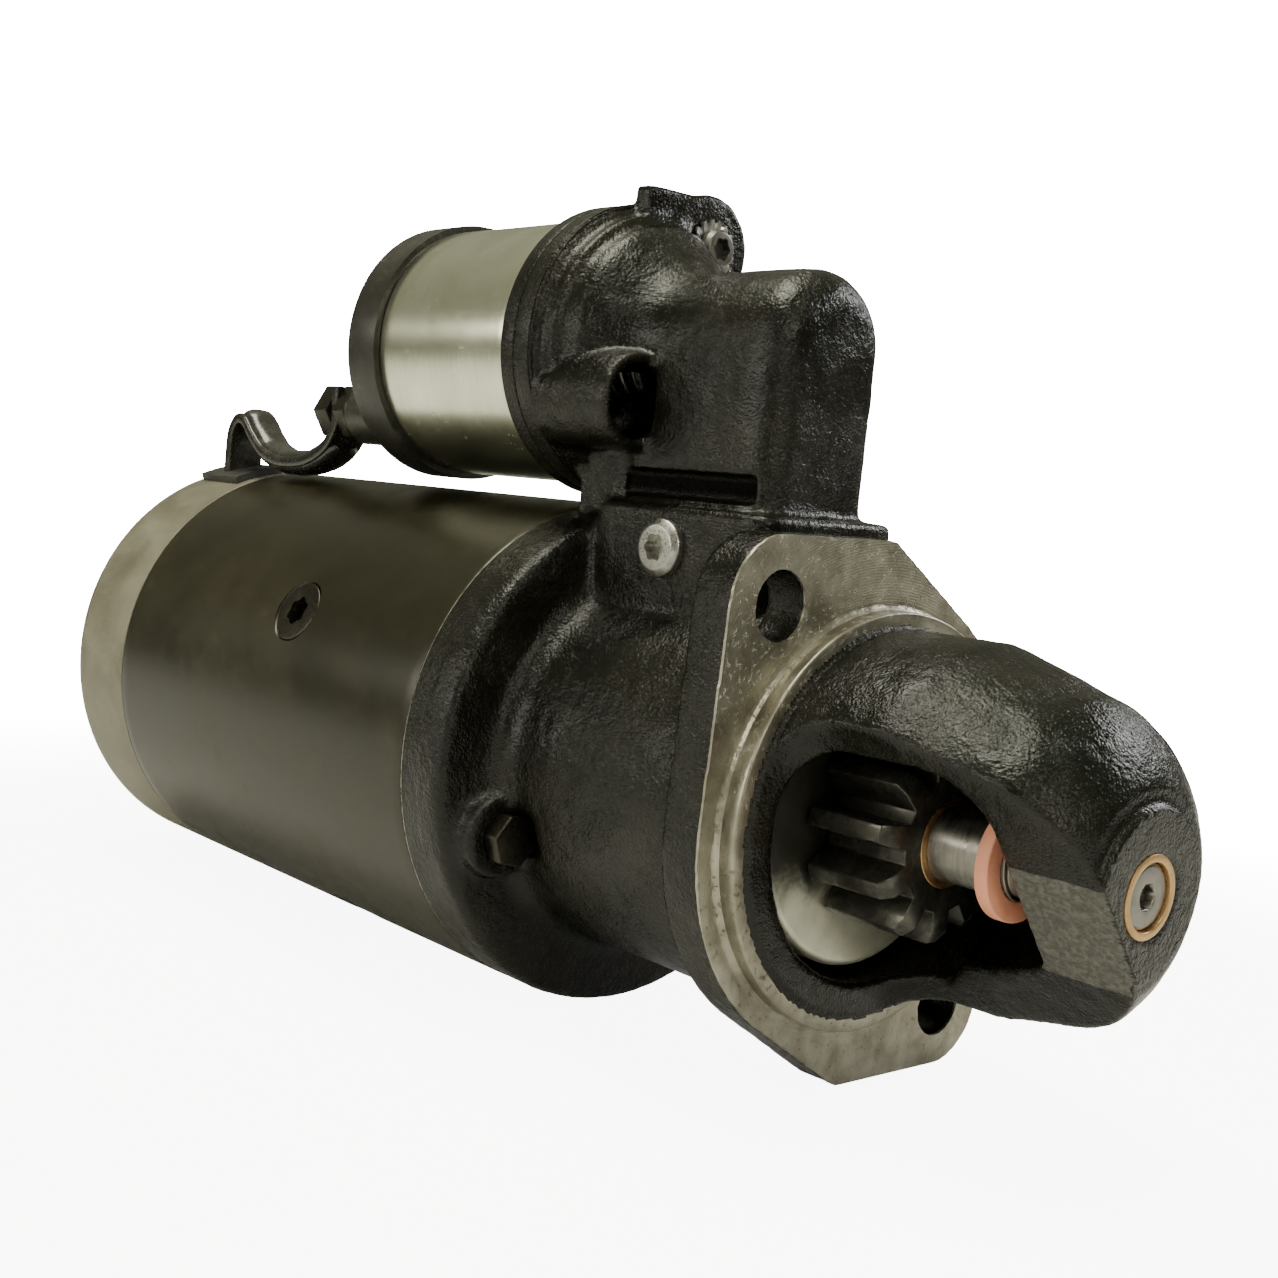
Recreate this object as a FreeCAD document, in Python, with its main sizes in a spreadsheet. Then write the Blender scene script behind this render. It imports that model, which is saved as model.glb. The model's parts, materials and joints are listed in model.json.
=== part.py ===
import FreeCAD, Part
import math
import os
import Sketcher

# Starter motor with a screw-push drive and a solenoid on top.
# The shaft is the X axis and its drive end points along +X. The origin is the
# centre of the pilot ring on the mounting face of the flange, and the solenoid
# stands above the shaft, along +Z. Lengths are in mm, angles in degrees from +Y
# towards +Z.

os.makedirs("parts", exist_ok=True)
doc = FreeCAD.newDocument("StarterMotor")
Vector = FreeCAD.Vector
Rotation = FreeCAD.Rotation
Placement = FreeCAD.Placement

SIZES = {
    # Shells
    "yoke_r": 56.0, "yoke_wall": 7.0, "yoke_front": -77.4, "yoke_rear": -209.4,
    "cover_rear": -240.5, "cover_wall": 4.5,
    # Drive housing
    "band_front": -71.0, "rim_front": -64.0, "neck_r": 40.8, "neck_rear": -57.0,
    "bore_r": 31.0, "bore_front": 29.0, "hub_rear": 40.5,
    "flange_t": 10.0, "flange_r": 46.0, "lug_r": 13.1, "hole_r": 6.5,
    "hole_ring": 51.75, "hole_angle": 127.0, "tip_y": 0.7, "shoulder_angle": 59.7, "side_angle": 175.0,
    "pilot_r": 41.25, "pilot_h": 4.2, "nose_r": 38.2, "nose_tip": 60.2, "nose_disc_r": 15.4,
    "window_rear": 5.0, "window_depth": 9.7, "window_turn": 129.0, "window_fillet": 11.0,
    # Solenoid and the lever tower that carries it
    "sol_z": 89.6, "can_r": 29.5, "can_front": -86.7, "can_rear": -136.7, "can_wall": 1.6,
    "seat_x": -82.5, "cap_r": 31.0, "cap_step": -148.8, "cap_rear": -161.0, "cap_block_r": 19.0,
    "collar_r": 32.0, "tower_front": -20.0, "tower_half": 16.5, "cavity_half": 11.5,
    "block_half": 21.0, "block_top": 57.0, "block_front": -16.0, "block_rear": -66.0,
    "ear_r": 28.4, "ear_angle": 59.3, "side_screw_r": 23.0, "side_screw_rise": 211.0,
    "plunger_r": 9.9, "plunger_travel": 10.5,
    "stud_r": 4.0, "stud_core_r": 3.6, "stud_ring": 20.9, "stud_angle": 231.5, "stud_seat": -162.0, "stud_tip": -184.0,
    # Lever
    "pivot_x": -42.0, "pivot_z": 48.6, "pivot_r": 4.0, "pin_r": 2.5, "fork_pin_r": 3.4,
    # Shaft, drive and pinion
    "nose_journal_r": 6.0, "shaft_r": 7.0, "spline_r": 9.0, "spline_root_r": 7.9,
    "mid_journal_r": 10.5, "rear_journal_r": 7.0, "bush_gap": 0.03,
    "teeth": 11, "pinion_tip_r": 19.5, "pinion_root_r": 13.2, "pinion_front": 20.0, "pinion_rear": 2.0,
    "race_r": 12.0, "drum_r": 29.0, "sleeve_r": 13.0, "groove_x": -48.17,
    # Field and armature
    "core_front": -92.0, "core_rear": -172.0, "core_r": 36.3, "air_gap": 0.5,
    "pole_turn": 63.6, "slots": 24, "commutator_r": 22.0,
    "bolt_ring": 44.0, "bolt_r": 3.0, "bolt_seat": -59.0,
    # Connector strap between the solenoid and the field windings
    "strap_y": -13.5, "strap_half": 5.5, "strap_t": 3.0, "lug_x": -171.0, "dip_r": 9.2,
    "dip_z": 66.7, "dip_rear_x": -200.8, "hump_r": 7.8, "strap_join": 191.8,
}


class Dim:
    """A size that keeps both its number and the sheet expression behind it."""

    def __init__(self, value, text):
        self.value = float(value)
        self.text = text

    def join(self, other, sign, value):
        return Dim(value, "(%s %s %s)" % (self.text, sign, other.text))

    def __add__(self, other):
        other = dim(other)
        return self.join(other, "+", self.value + other.value)

    def __sub__(self, other):
        other = dim(other)
        return self.join(other, "-", self.value - other.value)

    def __mul__(self, other):
        other = dim(other)
        return self.join(other, "*", self.value * other.value)

    def __truediv__(self, other):
        other = dim(other)
        return self.join(other, "/", self.value / other.value)

    def __radd__(self, other):
        return dim(other) + self

    def __rsub__(self, other):
        return dim(other) - self

    def __rmul__(self, other):
        return dim(other) * self

    def __neg__(self):
        return dim(0) - self


def dim(size):
    """Any number as a Dim."""
    if isinstance(size, Dim):
        return size
    return Dim(size, "(%.6f)" % size)


def cosine(angle):
    """Cosine of an angle in degrees, as a Dim."""
    angle = dim(angle)
    return Dim(math.cos(math.radians(angle.value)), "cos(%s)" % angle.text)


def sine(angle):
    """Sine of an angle in degrees, as a Dim."""
    angle = dim(angle)
    return Dim(math.sin(math.radians(angle.value)), "sin(%s)" % angle.text)


def make_sheet():
    """Write the driving sizes to a spreadsheet, one alias each."""
    sheet = doc.addObject("Spreadsheet::Sheet", "Sizes")
    for row, (name, value) in enumerate(SIZES.items(), 1):
        sheet.set("A%d" % row, name)
        sheet.set("B%d" % row, str(value))
        sheet.setAlias("B%d" % row, name)
    doc.recompute()
    return {name: Dim(value, "Sizes." + name) for name, value in SIZES.items()}


S = make_sheet()
NODES = []


def bind(thing, prop, size):
    """Tie one property of a document object to the sheet."""
    thing.setExpression(prop, dim(size).text)


def move(thing, x=None, y=None, z=None):
    """Bind the base of an object's placement, coordinate by coordinate."""
    for axis, size in (("x", x), ("y", y), ("z", z)):
        if size is not None:
            bind(thing, "Placement.Base." + axis, size)


def turn_about_x(thing, angle):
    """Turn an object about the shaft axis by a bound angle."""
    angle = dim(angle)
    thing.Placement = Placement(thing.Placement.Base, Rotation(Vector(1, 0, 0), angle.value))
    bind(thing, "Placement.Rotation.Angle", angle)


# Sketches: a loop is a list of corners (u, v). A corner may carry an arc that
# leads to the next corner: (u, v, centre_u, centre_v, radius, turn), where turn
# is 1 for anticlockwise and -1 for clockwise. A circle is ("circle", u, v, r).

class Solid:
    """A PartDesign body with sketches bound to the sheet."""

    def __init__(self, name):
        self.name = name
        self.body = doc.addObject("PartDesign::Body", name)
        self.count = 0

    def origin(self, role):
        return [f for f in self.body.Origin.OriginFeatures if f.Role == role][0]

    def feature(self, kind):
        self.count += 1
        return self.body.newObject(kind, "%s_%d" % (self.name, self.count))

    def sketch(self, plane, *loops):
        sketch = self.feature("Sketcher::SketchObject")
        sketch.AttachmentSupport = [(self.origin(plane + "_Plane"), "")]
        sketch.MapMode = "FlatFace"
        for loop in loops:
            if loop[0] == "circle":
                add_circle(sketch, *[dim(size) for size in loop[1:]])
            else:
                add_loop(sketch, [[dim(size) for size in corner] for corner in loop])
        return sketch

    def revolve(self, *loops, cut=False, angle=360):
        sketch = self.sketch("XZ", *loops)
        made = self.feature("PartDesign::Groove" if cut else "PartDesign::Revolution")
        made.Profile = sketch
        made.ReferenceAxis = (sketch, ["H_Axis"])
        made.Angle = angle
        return self.keep(made)

    def revolve_radial(self, *loops, cut=False):
        """Turn loops drawn as (radius, height along local Z) about local Z."""
        sketch = self.sketch("XZ", *loops)
        made = self.feature("PartDesign::Groove" if cut else "PartDesign::Revolution")
        made.Profile = sketch
        made.ReferenceAxis = (sketch, ["V_Axis"])
        made.Angle = 360
        return self.keep(made)

    def extrude(self, plane, start, end, *loops, cut=False):
        sketch = self.sketch(plane, *loops)
        start, end = dim(start), dim(end)
        sketch.AttachmentOffset = Placement(Vector(0, 0, start.value), Rotation())
        sketch.setExpression("AttachmentOffset.Base.z", start.text)
        made = self.feature("PartDesign::Pocket" if cut else "PartDesign::Pad")
        made.Profile = sketch
        made.Reversed = bool(cut)
        bind(made, "Length", end - start)
        return self.keep(made)

    def polar(self, count, *features, axis="X_Axis"):
        made = self.feature("PartDesign::PolarPattern")
        made.Originals = list(features)
        made.Axis = (self.origin(axis), [""])
        made.Angle = 360
        bind(made, "Occurrences", count)
        return self.keep(made)

    def keep(self, made):
        self.body.Tip = made
        return made


def add_circle(sketch, u, v, r):
    """A circle with its centre and radius bound."""
    circle = Part.Circle(Vector(u.value, v.value, 0), Vector(0, 0, 1), r.value)
    index = sketch.addGeometry(circle)
    tie(sketch, "DistanceX", u, -1, 1, index, 3)
    tie(sketch, "DistanceY", v, -1, 1, index, 3)
    tie(sketch, "Radius", r, index)


def tie(sketch, kind, size, *where):
    """Add one dimension to a sketch and bind it."""
    number = sketch.addConstraint(Sketcher.Constraint(kind, *where, size.value))
    sketch.setExpression("Constraints[%d]" % number, size.text)


def add_loop(sketch, corners):
    """A closed loop of lines and arcs with every corner bound."""
    indices = []
    for corner, following in zip(corners, corners[1:] + corners[:1]):
        start = Vector(corner[0].value, corner[1].value, 0)
        end = Vector(following[0].value, following[1].value, 0)
        if len(corner) == 2:
            indices.append((sketch.addGeometry(Part.LineSegment(start, end)), 1, 2))
            continue
        middle_u, middle_v, radius, sense = [size.value for size in corner[2:6]]
        first = math.atan2(start.y - middle_v, start.x - middle_u)
        last = math.atan2(end.y - middle_v, end.x - middle_u)
        if sense < 0:
            first, last = last, first
        circle = Part.Circle(Vector(middle_u, middle_v, 0), Vector(0, 0, 1), radius)
        index = sketch.addGeometry(Part.ArcOfCircle(circle, first, last))
        indices.append((index, 1, 2) if sense > 0 else (index, 2, 1))
    for (index, start, end), (other, other_start, other_end) in zip(indices, indices[1:] + indices[:1]):
        sketch.addConstraint(Sketcher.Constraint("Coincident", index, end, other, other_start))
    for (index, start, end), corner in zip(indices, corners):
        tie(sketch, "DistanceX", corner[0], -1, 1, index, start)
        tie(sketch, "DistanceY", corner[1], -1, 1, index, start)
        if len(corner) > 2:
            tie(sketch, "Radius", corner[4], index)


def ring(x0, x1, r0, r1):
    """The half section of a tube from x0 to x1, between radii r0 and r1."""
    return [(x0, r0), (x1, r0), (x1, r1), (x0, r1)]


def rectangle(u0, u1, v0, v1):
    return [(u0, v0), (u1, v0), (u1, v1), (u0, v1)]


def rounded(u0, u1, v0, v1, r):
    """A rectangle with rounded corners."""
    u0, u1, v0, v1, r = [dim(size) for size in (u0, u1, v0, v1, r)]
    return [
        (u0 + r, v0), (u1 - r, v0, u1 - r, v0 + r, r, 1),
        (u1, v0 + r), (u1, v1 - r, u1 - r, v1 - r, r, 1),
        (u1 - r, v1), (u0 + r, v1, u0 + r, v1 - r, r, 1),
        (u0, v1 - r), (u0, v0 + r, u0 + r, v0 + r, r, 1),
    ]


def sector(r0, r1, half, middle=90):
    """An annular sector about the origin, centred on the angle middle."""
    r0, r1 = dim(r0), dim(r1)
    low, high = dim(middle) - half, dim(middle) + half
    return [
        (r0 * cosine(low), r0 * sine(low)),
        (r1 * cosine(low), r1 * sine(low), 0, 0, r1, 1),
        (r1 * cosine(high), r1 * sine(high)),
        (r0 * cosine(high), r0 * sine(high), 0, 0, r0, -1),
    ]


def turned(name, *loops, z=None):
    """A solid of revolution about the X axis, or about a parallel at height z."""
    solid = Solid(name)
    for loop in loops:
        solid.revolve(loop)
    if z is not None:
        move(solid.body, z=z)
    return solid.body


def rod(name, x0, x1, r, y=0, z=0):
    """A cylinder along X."""
    made = doc.addObject("Part::Cylinder", name)
    made.Placement = Placement(Vector(0, 0, 0), Rotation(Vector(0, 1, 0), 90))
    bind(made, "Height", dim(x1) - x0)
    bind(made, "Radius", r)
    move(made, x0, y, z)
    return made


def cross_rod(name, x, y0, y1, z, r):
    """A cylinder along Y."""
    made = doc.addObject("Part::Cylinder", name)
    made.Placement = Placement(Vector(0, 0, 0), Rotation(Vector(1, 0, 0), -90))
    bind(made, "Height", dim(y1) - y0)
    bind(made, "Radius", r)
    move(made, x, y0, z)
    return made


def box(name, x0, x1, y0, y1, z0, z1):
    made = doc.addObject("Part::Box", name)
    bind(made, "Length", dim(x1) - x0)
    bind(made, "Width", dim(y1) - y0)
    bind(made, "Height", dim(z1) - z0)
    move(made, x0, y0, z0)
    return made


def fuse(name, *shapes):
    made = doc.addObject("Part::MultiFuse", name)
    made.Shapes = list(shapes)
    return made


def cut(name, base, *tools):
    made = doc.addObject("Part::Cut", name)
    made.Base = base
    made.Tool = tools[0] if len(tools) == 1 else fuse(name + "_tools", *tools)
    return made


def group(name, *shapes):
    made = doc.addObject("Part::Compound", name)
    made.Links = list(shapes)
    return made


def node(name, thing):
    """Name an object as one sub-part of the assembly."""
    thing.Label = name
    NODES.append((name, thing))


def coil_spring(name, mean_r, wire_r, length, turns):
    """A helical spring along local Z, from z = wire_r to length - wire_r."""
    mean_r, wire_r, length = dim(mean_r), dim(wire_r), dim(length)
    helix = doc.addObject("Part::Helix", name + "_helix")
    bind(helix, "Radius", mean_r)
    bind(helix, "Height", length - wire_r * 2)
    bind(helix, "Pitch", (length - wire_r * 2) / turns)
    wire = doc.addObject("Part::Circle", name + "_wire")
    wire.Placement = Placement(Vector(mean_r.value, 0, 0), Rotation(Vector(1, 0, 0), 90))
    bind(wire, "Radius", wire_r)
    bind(wire, "Placement.Base.x", mean_r)
    spring = doc.addObject("Part::Sweep", name)
    spring.Sections = [wire]
    spring.Spine = (helix, [])
    spring.Solid = True
    spring.Frenet = True
    return spring


def spring_along_x(name, x0, mean_r, wire_r, length, turns, z=0):
    spring = coil_spring(name, mean_r, wire_r, length, turns)
    spring.Placement = Placement(Vector(0, 0, 0), Rotation(Vector(0, 1, 0), 90))
    move(spring, dim(x0) + wire_r, 0, z)
    return spring


def polar_y(r, angle):
    return dim(r) * cosine(angle)


def polar_z(r, angle):
    return dim(r) * sine(angle)


def hexagon(u, v, flats):
    """A hexagon measured across its flats."""
    r = dim(flats) / dim(3.0 ** 0.5)
    return [(dim(u) + r * cosine(a), dim(v) + r * sine(a)) for a in range(0, 360, 60)]


# ---------------------------------------------------------------- drive housing

def flange_outline():
    """Two lugs and two shoulders, the same after half a turn about the shaft."""
    corner = S["lug_r"]
    hole_y = polar_y(S["hole_ring"], S["hole_angle"])
    hole_z = polar_z(S["hole_ring"], S["hole_angle"])
    shoulder = S["flange_r"]
    half = [
        (-S["tip_y"], hole_z + corner),
        (hole_y, hole_z + corner, hole_y, hole_z, corner, 1),
        (hole_y - corner, hole_z),
        (polar_y(shoulder, S["side_angle"]), polar_z(shoulder, S["side_angle"]), 0, 0, shoulder, 1),
        (-polar_y(shoulder, S["shoulder_angle"]), -polar_z(shoulder, S["shoulder_angle"])),
    ]
    other = []
    for point in half:
        turned_point = [-size for size in point[:4]] + list(point[4:])
        other.append(tuple(turned_point))
    return half + other


def housing_shell():
    """Band, rim, neck, pilot ring and nose, all about the shaft, with the hollow inside."""
    shell = Solid("housing_shell")
    neck, rear, rim = S["neck_r"], S["neck_rear"], S["rim_front"]
    fillet, rim_round, nose_round = 6.0, 2.5, 28.0
    disc_back = S["nose_tip"] - 1.6
    shell.revolve([
        (S["yoke_front"], 0), (S["nose_tip"], 0), (S["nose_tip"], S["nose_disc_r"]),
        (disc_back, S["nose_disc_r"]),
        (disc_back, 18.4, 33.19, 6.68, nose_round, 1),
        (46.5, 31.3), (24.0, S["nose_r"]),
        (S["pilot_h"], S["nose_r"]), (S["pilot_h"], S["pilot_r"]),
        (-S["flange_t"] / 2, S["pilot_r"]), (-S["flange_t"] / 2, neck),
        (rear, neck, rear, neck + fillet, fillet, -1),
        (rear - fillet, neck + fillet),
        (rim, S["yoke_r"] - rim_round, rim - rim_round, S["yoke_r"] - rim_round, rim_round, 1),
        (rim - rim_round, S["yoke_r"]), (S["yoke_front"], S["yoke_r"]),
    ])
    return shell.body


def housing_hollow():
    """Recess for the bearing plate, drive chamber and the rounded end of the nose chamber."""
    hollow = Solid("housing_hollow")
    bore, hub = S["bore_r"], S["hub_rear"]
    end_round = hub - S["bore_front"]
    recess = S["yoke_front"] + 4.0
    hollow.revolve([
        (S["yoke_front"], 0), (S["yoke_front"], 50.0), (recess, 50.0), (recess, 40.0),
        (-66.0, 40.0), (S["neck_rear"] - 1.0, bore),
        (S["bore_front"], bore, S["bore_front"], bore - end_round, end_round, -1),
        (hub, bore - end_round), (hub, 0),
    ])
    return hollow.body


def nose_lip():
    """Thicker wall under the window that narrows the drive chamber towards the nose."""
    thicker = turned("lip_ring", [
        (15.0, 31.5), (20.5, 25.5), (32.5, 21.8), (43.0, 16.5), (43.0, 36.0), (15.0, 36.0),
    ])
    below = Solid("lip_side")
    below.extrude("XZ", 8.0, 60.0, [(0, -18.0), (50.0, -18.0), (50.0, 40.0), (0, 40.0)])
    turn_about_x(below.body, S["window_turn"])
    lip = doc.addObject("Part::Common", "nose_lip")
    lip.Base, lip.Tool = thicker, below.body
    return lip


def nose_window():
    """The open side of the nose: everything beyond one plane parallel to the shaft."""
    window = Solid("nose_window")
    rear, depth, fillet = S["window_rear"], S["window_depth"], S["window_fillet"]
    window.extrude("XZ", -60.0, 60.0, [
        (rear, 70.0), (rear, depth + fillet, rear + fillet, depth + fillet, fillet, 1),
        (rear + fillet, depth), (80.0, depth), (80.0, 70.0),
    ])
    turn_about_x(window.body, S["window_turn"])
    return window.body


def lever_tower():
    """Seat for the solenoid, dome and column over the lever, and the block below them."""
    front, half = S["tower_front"], S["tower_half"]
    dome_round = 8.0
    seat = turned("solenoid_seat", [
        (S["seat_x"], 0), (front, 0),
        (front, half - dome_round, front - dome_round, half - dome_round, dome_round, 1),
        (front - dome_round, half), (-56.0, half), (-61.0, 19.0), (-67.0, 25.5), (-68.5, 27.0),
        (-71.8, 27.0), (-72.6, 29.4), (-76.0, 29.4), (-77.2, S["collar_r"]), (S["seat_x"], S["collar_r"]),
    ], z=S["sol_z"])
    column = Solid("lever_column")
    column.extrude("XY", 30.0, S["sol_z"], rounded(-64.0, front, -half, half, 8.0))
    block = Solid("lever_block")
    block_half = S["block_half"]
    block.extrude("XY", 20.0, S["block_top"],
                  rounded(S["block_rear"], S["block_front"], -block_half, block_half, 6.0))
    web = box("seat_web", -76.0, -58.0, -15.0, 15.0, 45.0, 68.0)
    return [seat, column.body, block.body, web]


def seat_screws_layout():
    """The three solenoid screws, as (y, z, boss radius, boss front, screw seat, pocket radius).

    The upper one has an ear of its own; the lower two sit deep in bosses beside the column.
    """
    layout = []
    for ring_r, angle, boss, front, seat, pocket in (
        (S["ear_r"], S["ear_angle"], 12.0, EAR_FRONT, EAR_FRONT, 6.8),
        (S["side_screw_r"], S["side_screw_rise"], 10.2, SIDE_BOSS_FRONT, SIDE_SEAT, 7.6),
        (S["side_screw_r"], 540 - S["side_screw_rise"], 10.2, SIDE_BOSS_FRONT, SIDE_SEAT, 7.6),
    ):
        place = (polar_y(ring_r, angle), S["sol_z"] + polar_z(ring_r, angle))
        layout.append(place + (boss, front, seat, pocket))
    return layout


EAR_FRONT = -73.0
SIDE_BOSS_FRONT = -54.0
SIDE_SEAT = -72.0
WAIST_HALF = 13.8


def tower_hollow():
    """Room for the plunger, its spring and the swing of the lever."""
    chamber = turned("plunger_chamber", [
        (S["seat_x"], 0), (S["seat_x"], 16.0), (-60.0, 16.0), (-60.0, 12.0), (-26.5, 12.0), (-26.5, 0),
    ], z=S["sol_z"])
    slot = box("lever_slot", -57.0, -26.5, -S["cavity_half"], S["cavity_half"], 24.0, S["sol_z"])
    half = S["tower_half"]
    waist_left = box("waist_left", -61.0, -24.0, -half, -WAIST_HALF, 58.5, 64.3)
    waist_right = box("waist_right", -61.0, -24.0, WAIST_HALF, half, 58.5, 64.3)
    return [chamber, slot, waist_left, waist_right]


def drive_housing():
    flange = Solid("flange_plate")
    flange.extrude("YZ", -S["flange_t"], 0, flange_outline())
    solids = [housing_shell(), flange.body] + lever_tower()
    chamber = cut("drive_chamber", housing_hollow(), nose_lip())
    tools = [chamber, nose_window()] + tower_hollow()
    solids.append(box("ear_pad", S["seat_x"], EAR_FRONT - 0.4, -5.0, 11.5, 100.0, 125.3))
    for number, (y, z, boss, front, seat, pocket) in enumerate(seat_screws_layout(), 1):
        solids.append(rod("seat_boss_%d" % number, S["seat_x"], front, boss, y, z))
        tools.append(rod("seat_pocket_%d" % number, seat, SIDE_BOSS_FRONT, pocket, y, z))
        tools.append(rod("seat_hole_%d" % number, S["seat_x"], seat, 2.9, y, z))
    for number, turn in enumerate((0, 180), 1):
        angle = S["pole_turn"] + 135 + turn
        y, z = polar_y(S["bolt_ring"], angle), polar_z(S["bolt_ring"], angle)
        solids.append(rod("bolt_boss_%d" % number, -72.0, S["bolt_seat"], 9.0, y, z))
        tools.append(rod("bolt_hole_%d" % number, S["yoke_front"], S["bolt_seat"], S["bolt_r"] + 0.2, y, z))
        tools.append(rod("bolt_spotface_%d" % number, S["bolt_seat"], S["bolt_seat"] + 6, 6.4, y, z))
    for number, turn in enumerate((0, 180), 1):
        angle = S["hole_angle"] + turn
        y, z = polar_y(S["hole_ring"], angle), polar_z(S["hole_ring"], angle)
        tools.append(rod("flange_hole_%d" % number, -S["flange_t"], 0, S["hole_r"], y, z))
    tools.append(rod("nose_bore", S["hub_rear"] - 1, S["nose_tip"], 7.5))
    tools.append(cross_rod("pivot_hole", S["pivot_x"], -S["block_half"], 16.6, S["pivot_z"], S["pivot_r"]))
    node("drive_housing", cut("housing_casting", fuse("housing_raw", *solids), *tools))


def bearings():
    gap = S["bush_gap"]
    node("nose_bush", turned("bush_nose", ring(S["hub_rear"], S["nose_tip"], S["nose_journal_r"] + gap, 7.5)))
    plate_front = S["yoke_front"] + 4.0
    plate = Solid("plate_centre")
    plate.revolve([
        (S["yoke_front"], 13.0), (-68.0, 13.0), (-68.0, 17.0), (plate_front, 19.0),
        (plate_front, 49.95), (S["yoke_front"], 49.95),
    ])
    hole = plate.extrude("YZ", S["yoke_front"], plate_front,
                         ("circle", 0, S["bolt_ring"], S["bolt_r"] + 0.2), cut=True)
    plate.polar(2, hole)
    turn_about_x(plate.body, S["pole_turn"] + 45)
    node("centre_bearing_plate", plate.body)
    node("centre_bush", turned("bush_centre", ring(S["yoke_front"], -68.0, S["mid_journal_r"] + gap, 13.0)))
    node("rear_bush", turned("bush_rear", ring(-239.0, -228.0, S["rear_journal_r"] + gap, 9.5)))


# ---------------------------------------------------------------- yoke and field

POLE_SCREW = [(0, 39.9), (4.0, 39.9), (4.0, 51.6), (7.75, 55.35), (7.75, 60.0), (0, 60.0)]


def core_middle():
    return (S["core_front"] + S["core_rear"]) / 2


def yoke():
    tube = turned("yoke_tube", ring(S["yoke_rear"], S["yoke_front"], S["yoke_r"] - S["yoke_wall"], S["yoke_r"]))
    holes = Solid("yoke_holes")
    first = holes.revolve_radial(POLE_SCREW)
    holes.polar(4, first)
    turn_about_x(holes.body, S["pole_turn"])
    move(holes.body, x=core_middle())
    node("yoke", cut("yoke_drilled", tube, holes.body))


def pole_screws():
    screws = Solid("screws_pole")
    shank = screws.revolve_radial(POLE_SCREW[:4] + [(7.75, 55.6), (0, 55.6)])
    recess = screws.extrude("XY", 53.0, 55.6, hexagon(0, 0, 4.6), cut=True)
    screws.polar(4, shank, recess)
    turn_about_x(screws.body, S["pole_turn"])
    move(screws.body, x=core_middle())
    node("pole_screws", screws.body)


def pole_shoes():
    shoes = Solid("shoes")
    face = S["core_r"] + S["air_gap"]
    back = S["yoke_r"] - S["yoke_wall"]
    middle = core_middle()
    half_length = (S["core_front"] - S["core_rear"]) / 2
    horns = shoes.extrude("YZ", -half_length, half_length, sector(face, 39.6, 34))
    body = shoes.extrude("YZ", -half_length, half_length, sector(39.0, back, 22))
    hole = shoes.extrude("XY", 39.9, 52.0, ("circle", 0, 0, 4.0), cut=True)
    shoes.polar(4, horns, body, hole)
    turn_about_x(shoes.body, S["pole_turn"])
    move(shoes.body, x=middle)
    node("pole_shoes", shoes.body)


def field_coils():
    coils = Solid("coils_field")
    outer = S["yoke_r"] - S["yoke_wall"] - 0.4
    loop = coils.extrude("YZ", S["core_rear"] - 9, S["core_front"] + 9, sector(40.0, outer, 39.5))
    opening = coils.extrude("YZ", S["core_rear"] - 0.6, S["core_front"] + 0.6,
                            sector(39.0, outer + 2, 23), cut=True)
    coils.polar(4, loop, opening)
    turn_about_x(coils.body, S["pole_turn"])
    node("field_coils", coils.body)


def through_bolts():
    bolts = Solid("bolts_through")
    shank = bolts.extrude("YZ", -234.0, S["bolt_seat"], ("circle", 0, S["bolt_ring"], S["bolt_r"]))
    head = bolts.extrude("YZ", S["bolt_seat"], S["bolt_seat"] + 4.2, hexagon(0, S["bolt_ring"], 10.0))
    bolts.polar(2, shank, head)
    turn_about_x(bolts.body, S["pole_turn"] + 45)
    node("through_bolts", bolts.body)


# ---------------------------------------------------------------- rear end

def grommet_section(r0, r1):
    return sector(r0, r1, 7.6, middle=105.0)


GROMMET_REAR, GROMMET_FRONT = -233.5, -213.5
CAP_SCREW_RING = 19.0
PLATE_RING = 30.0


def rear_cover():
    rear, edge = S["cover_rear"], 6.0
    wall = rear + S["cover_wall"]
    inside = S["yoke_r"] - 4.5
    cup = turned("cover_cup", [
        (S["yoke_rear"], inside), (wall, inside), (wall, 15.0), (-228.0, 14.0), (-228.0, 9.5),
        (-239.0, 9.5), (-239.0, 7.5), (rear, 7.5),
        (rear, S["yoke_r"] - edge, rear + edge, S["yoke_r"] - edge, edge, -1),
        (rear + edge, S["yoke_r"]), (S["yoke_rear"], S["yoke_r"]),
    ])
    solids, tools = [cup], []
    for number, turn in enumerate((0, 180), 1):
        angle = S["pole_turn"] + 135 + turn
        y, z = polar_y(S["bolt_ring"], angle), polar_z(S["bolt_ring"], angle)
        solids.append(rod("cover_boss_%d" % number, wall - 0.5, -216.0, 6.8, y, z))
        tools.append(rod("cover_hole_%d" % number, -234.0, -216.0, S["bolt_r"], y, z))
    for number, turn in enumerate((0, 180), 1):
        y, z = polar_y(CAP_SCREW_RING, S["pole_turn"] + turn), polar_z(CAP_SCREW_RING, S["pole_turn"] + turn)
        tools.append(rod("cap_screw_hole_%d" % number, rear, wall, 2.0, y, z))
    for number, turn in enumerate((0, 180), 1):
        y, z = polar_y(PLATE_RING, S["pole_turn"] + turn), polar_z(PLATE_RING, S["pole_turn"] + turn)
        tools.append(rod("plate_screw_hole_%d" % number, rear, wall, 2.0, y, z))
    opening = Solid("cover_opening")
    opening.extrude("YZ", GROMMET_REAR, GROMMET_FRONT, grommet_section(48.0, 60.0))
    tools.append(opening.body)
    node("rear_cover", cut("cover_cast", fuse("cover_raw", *solids), *tools))


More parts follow.
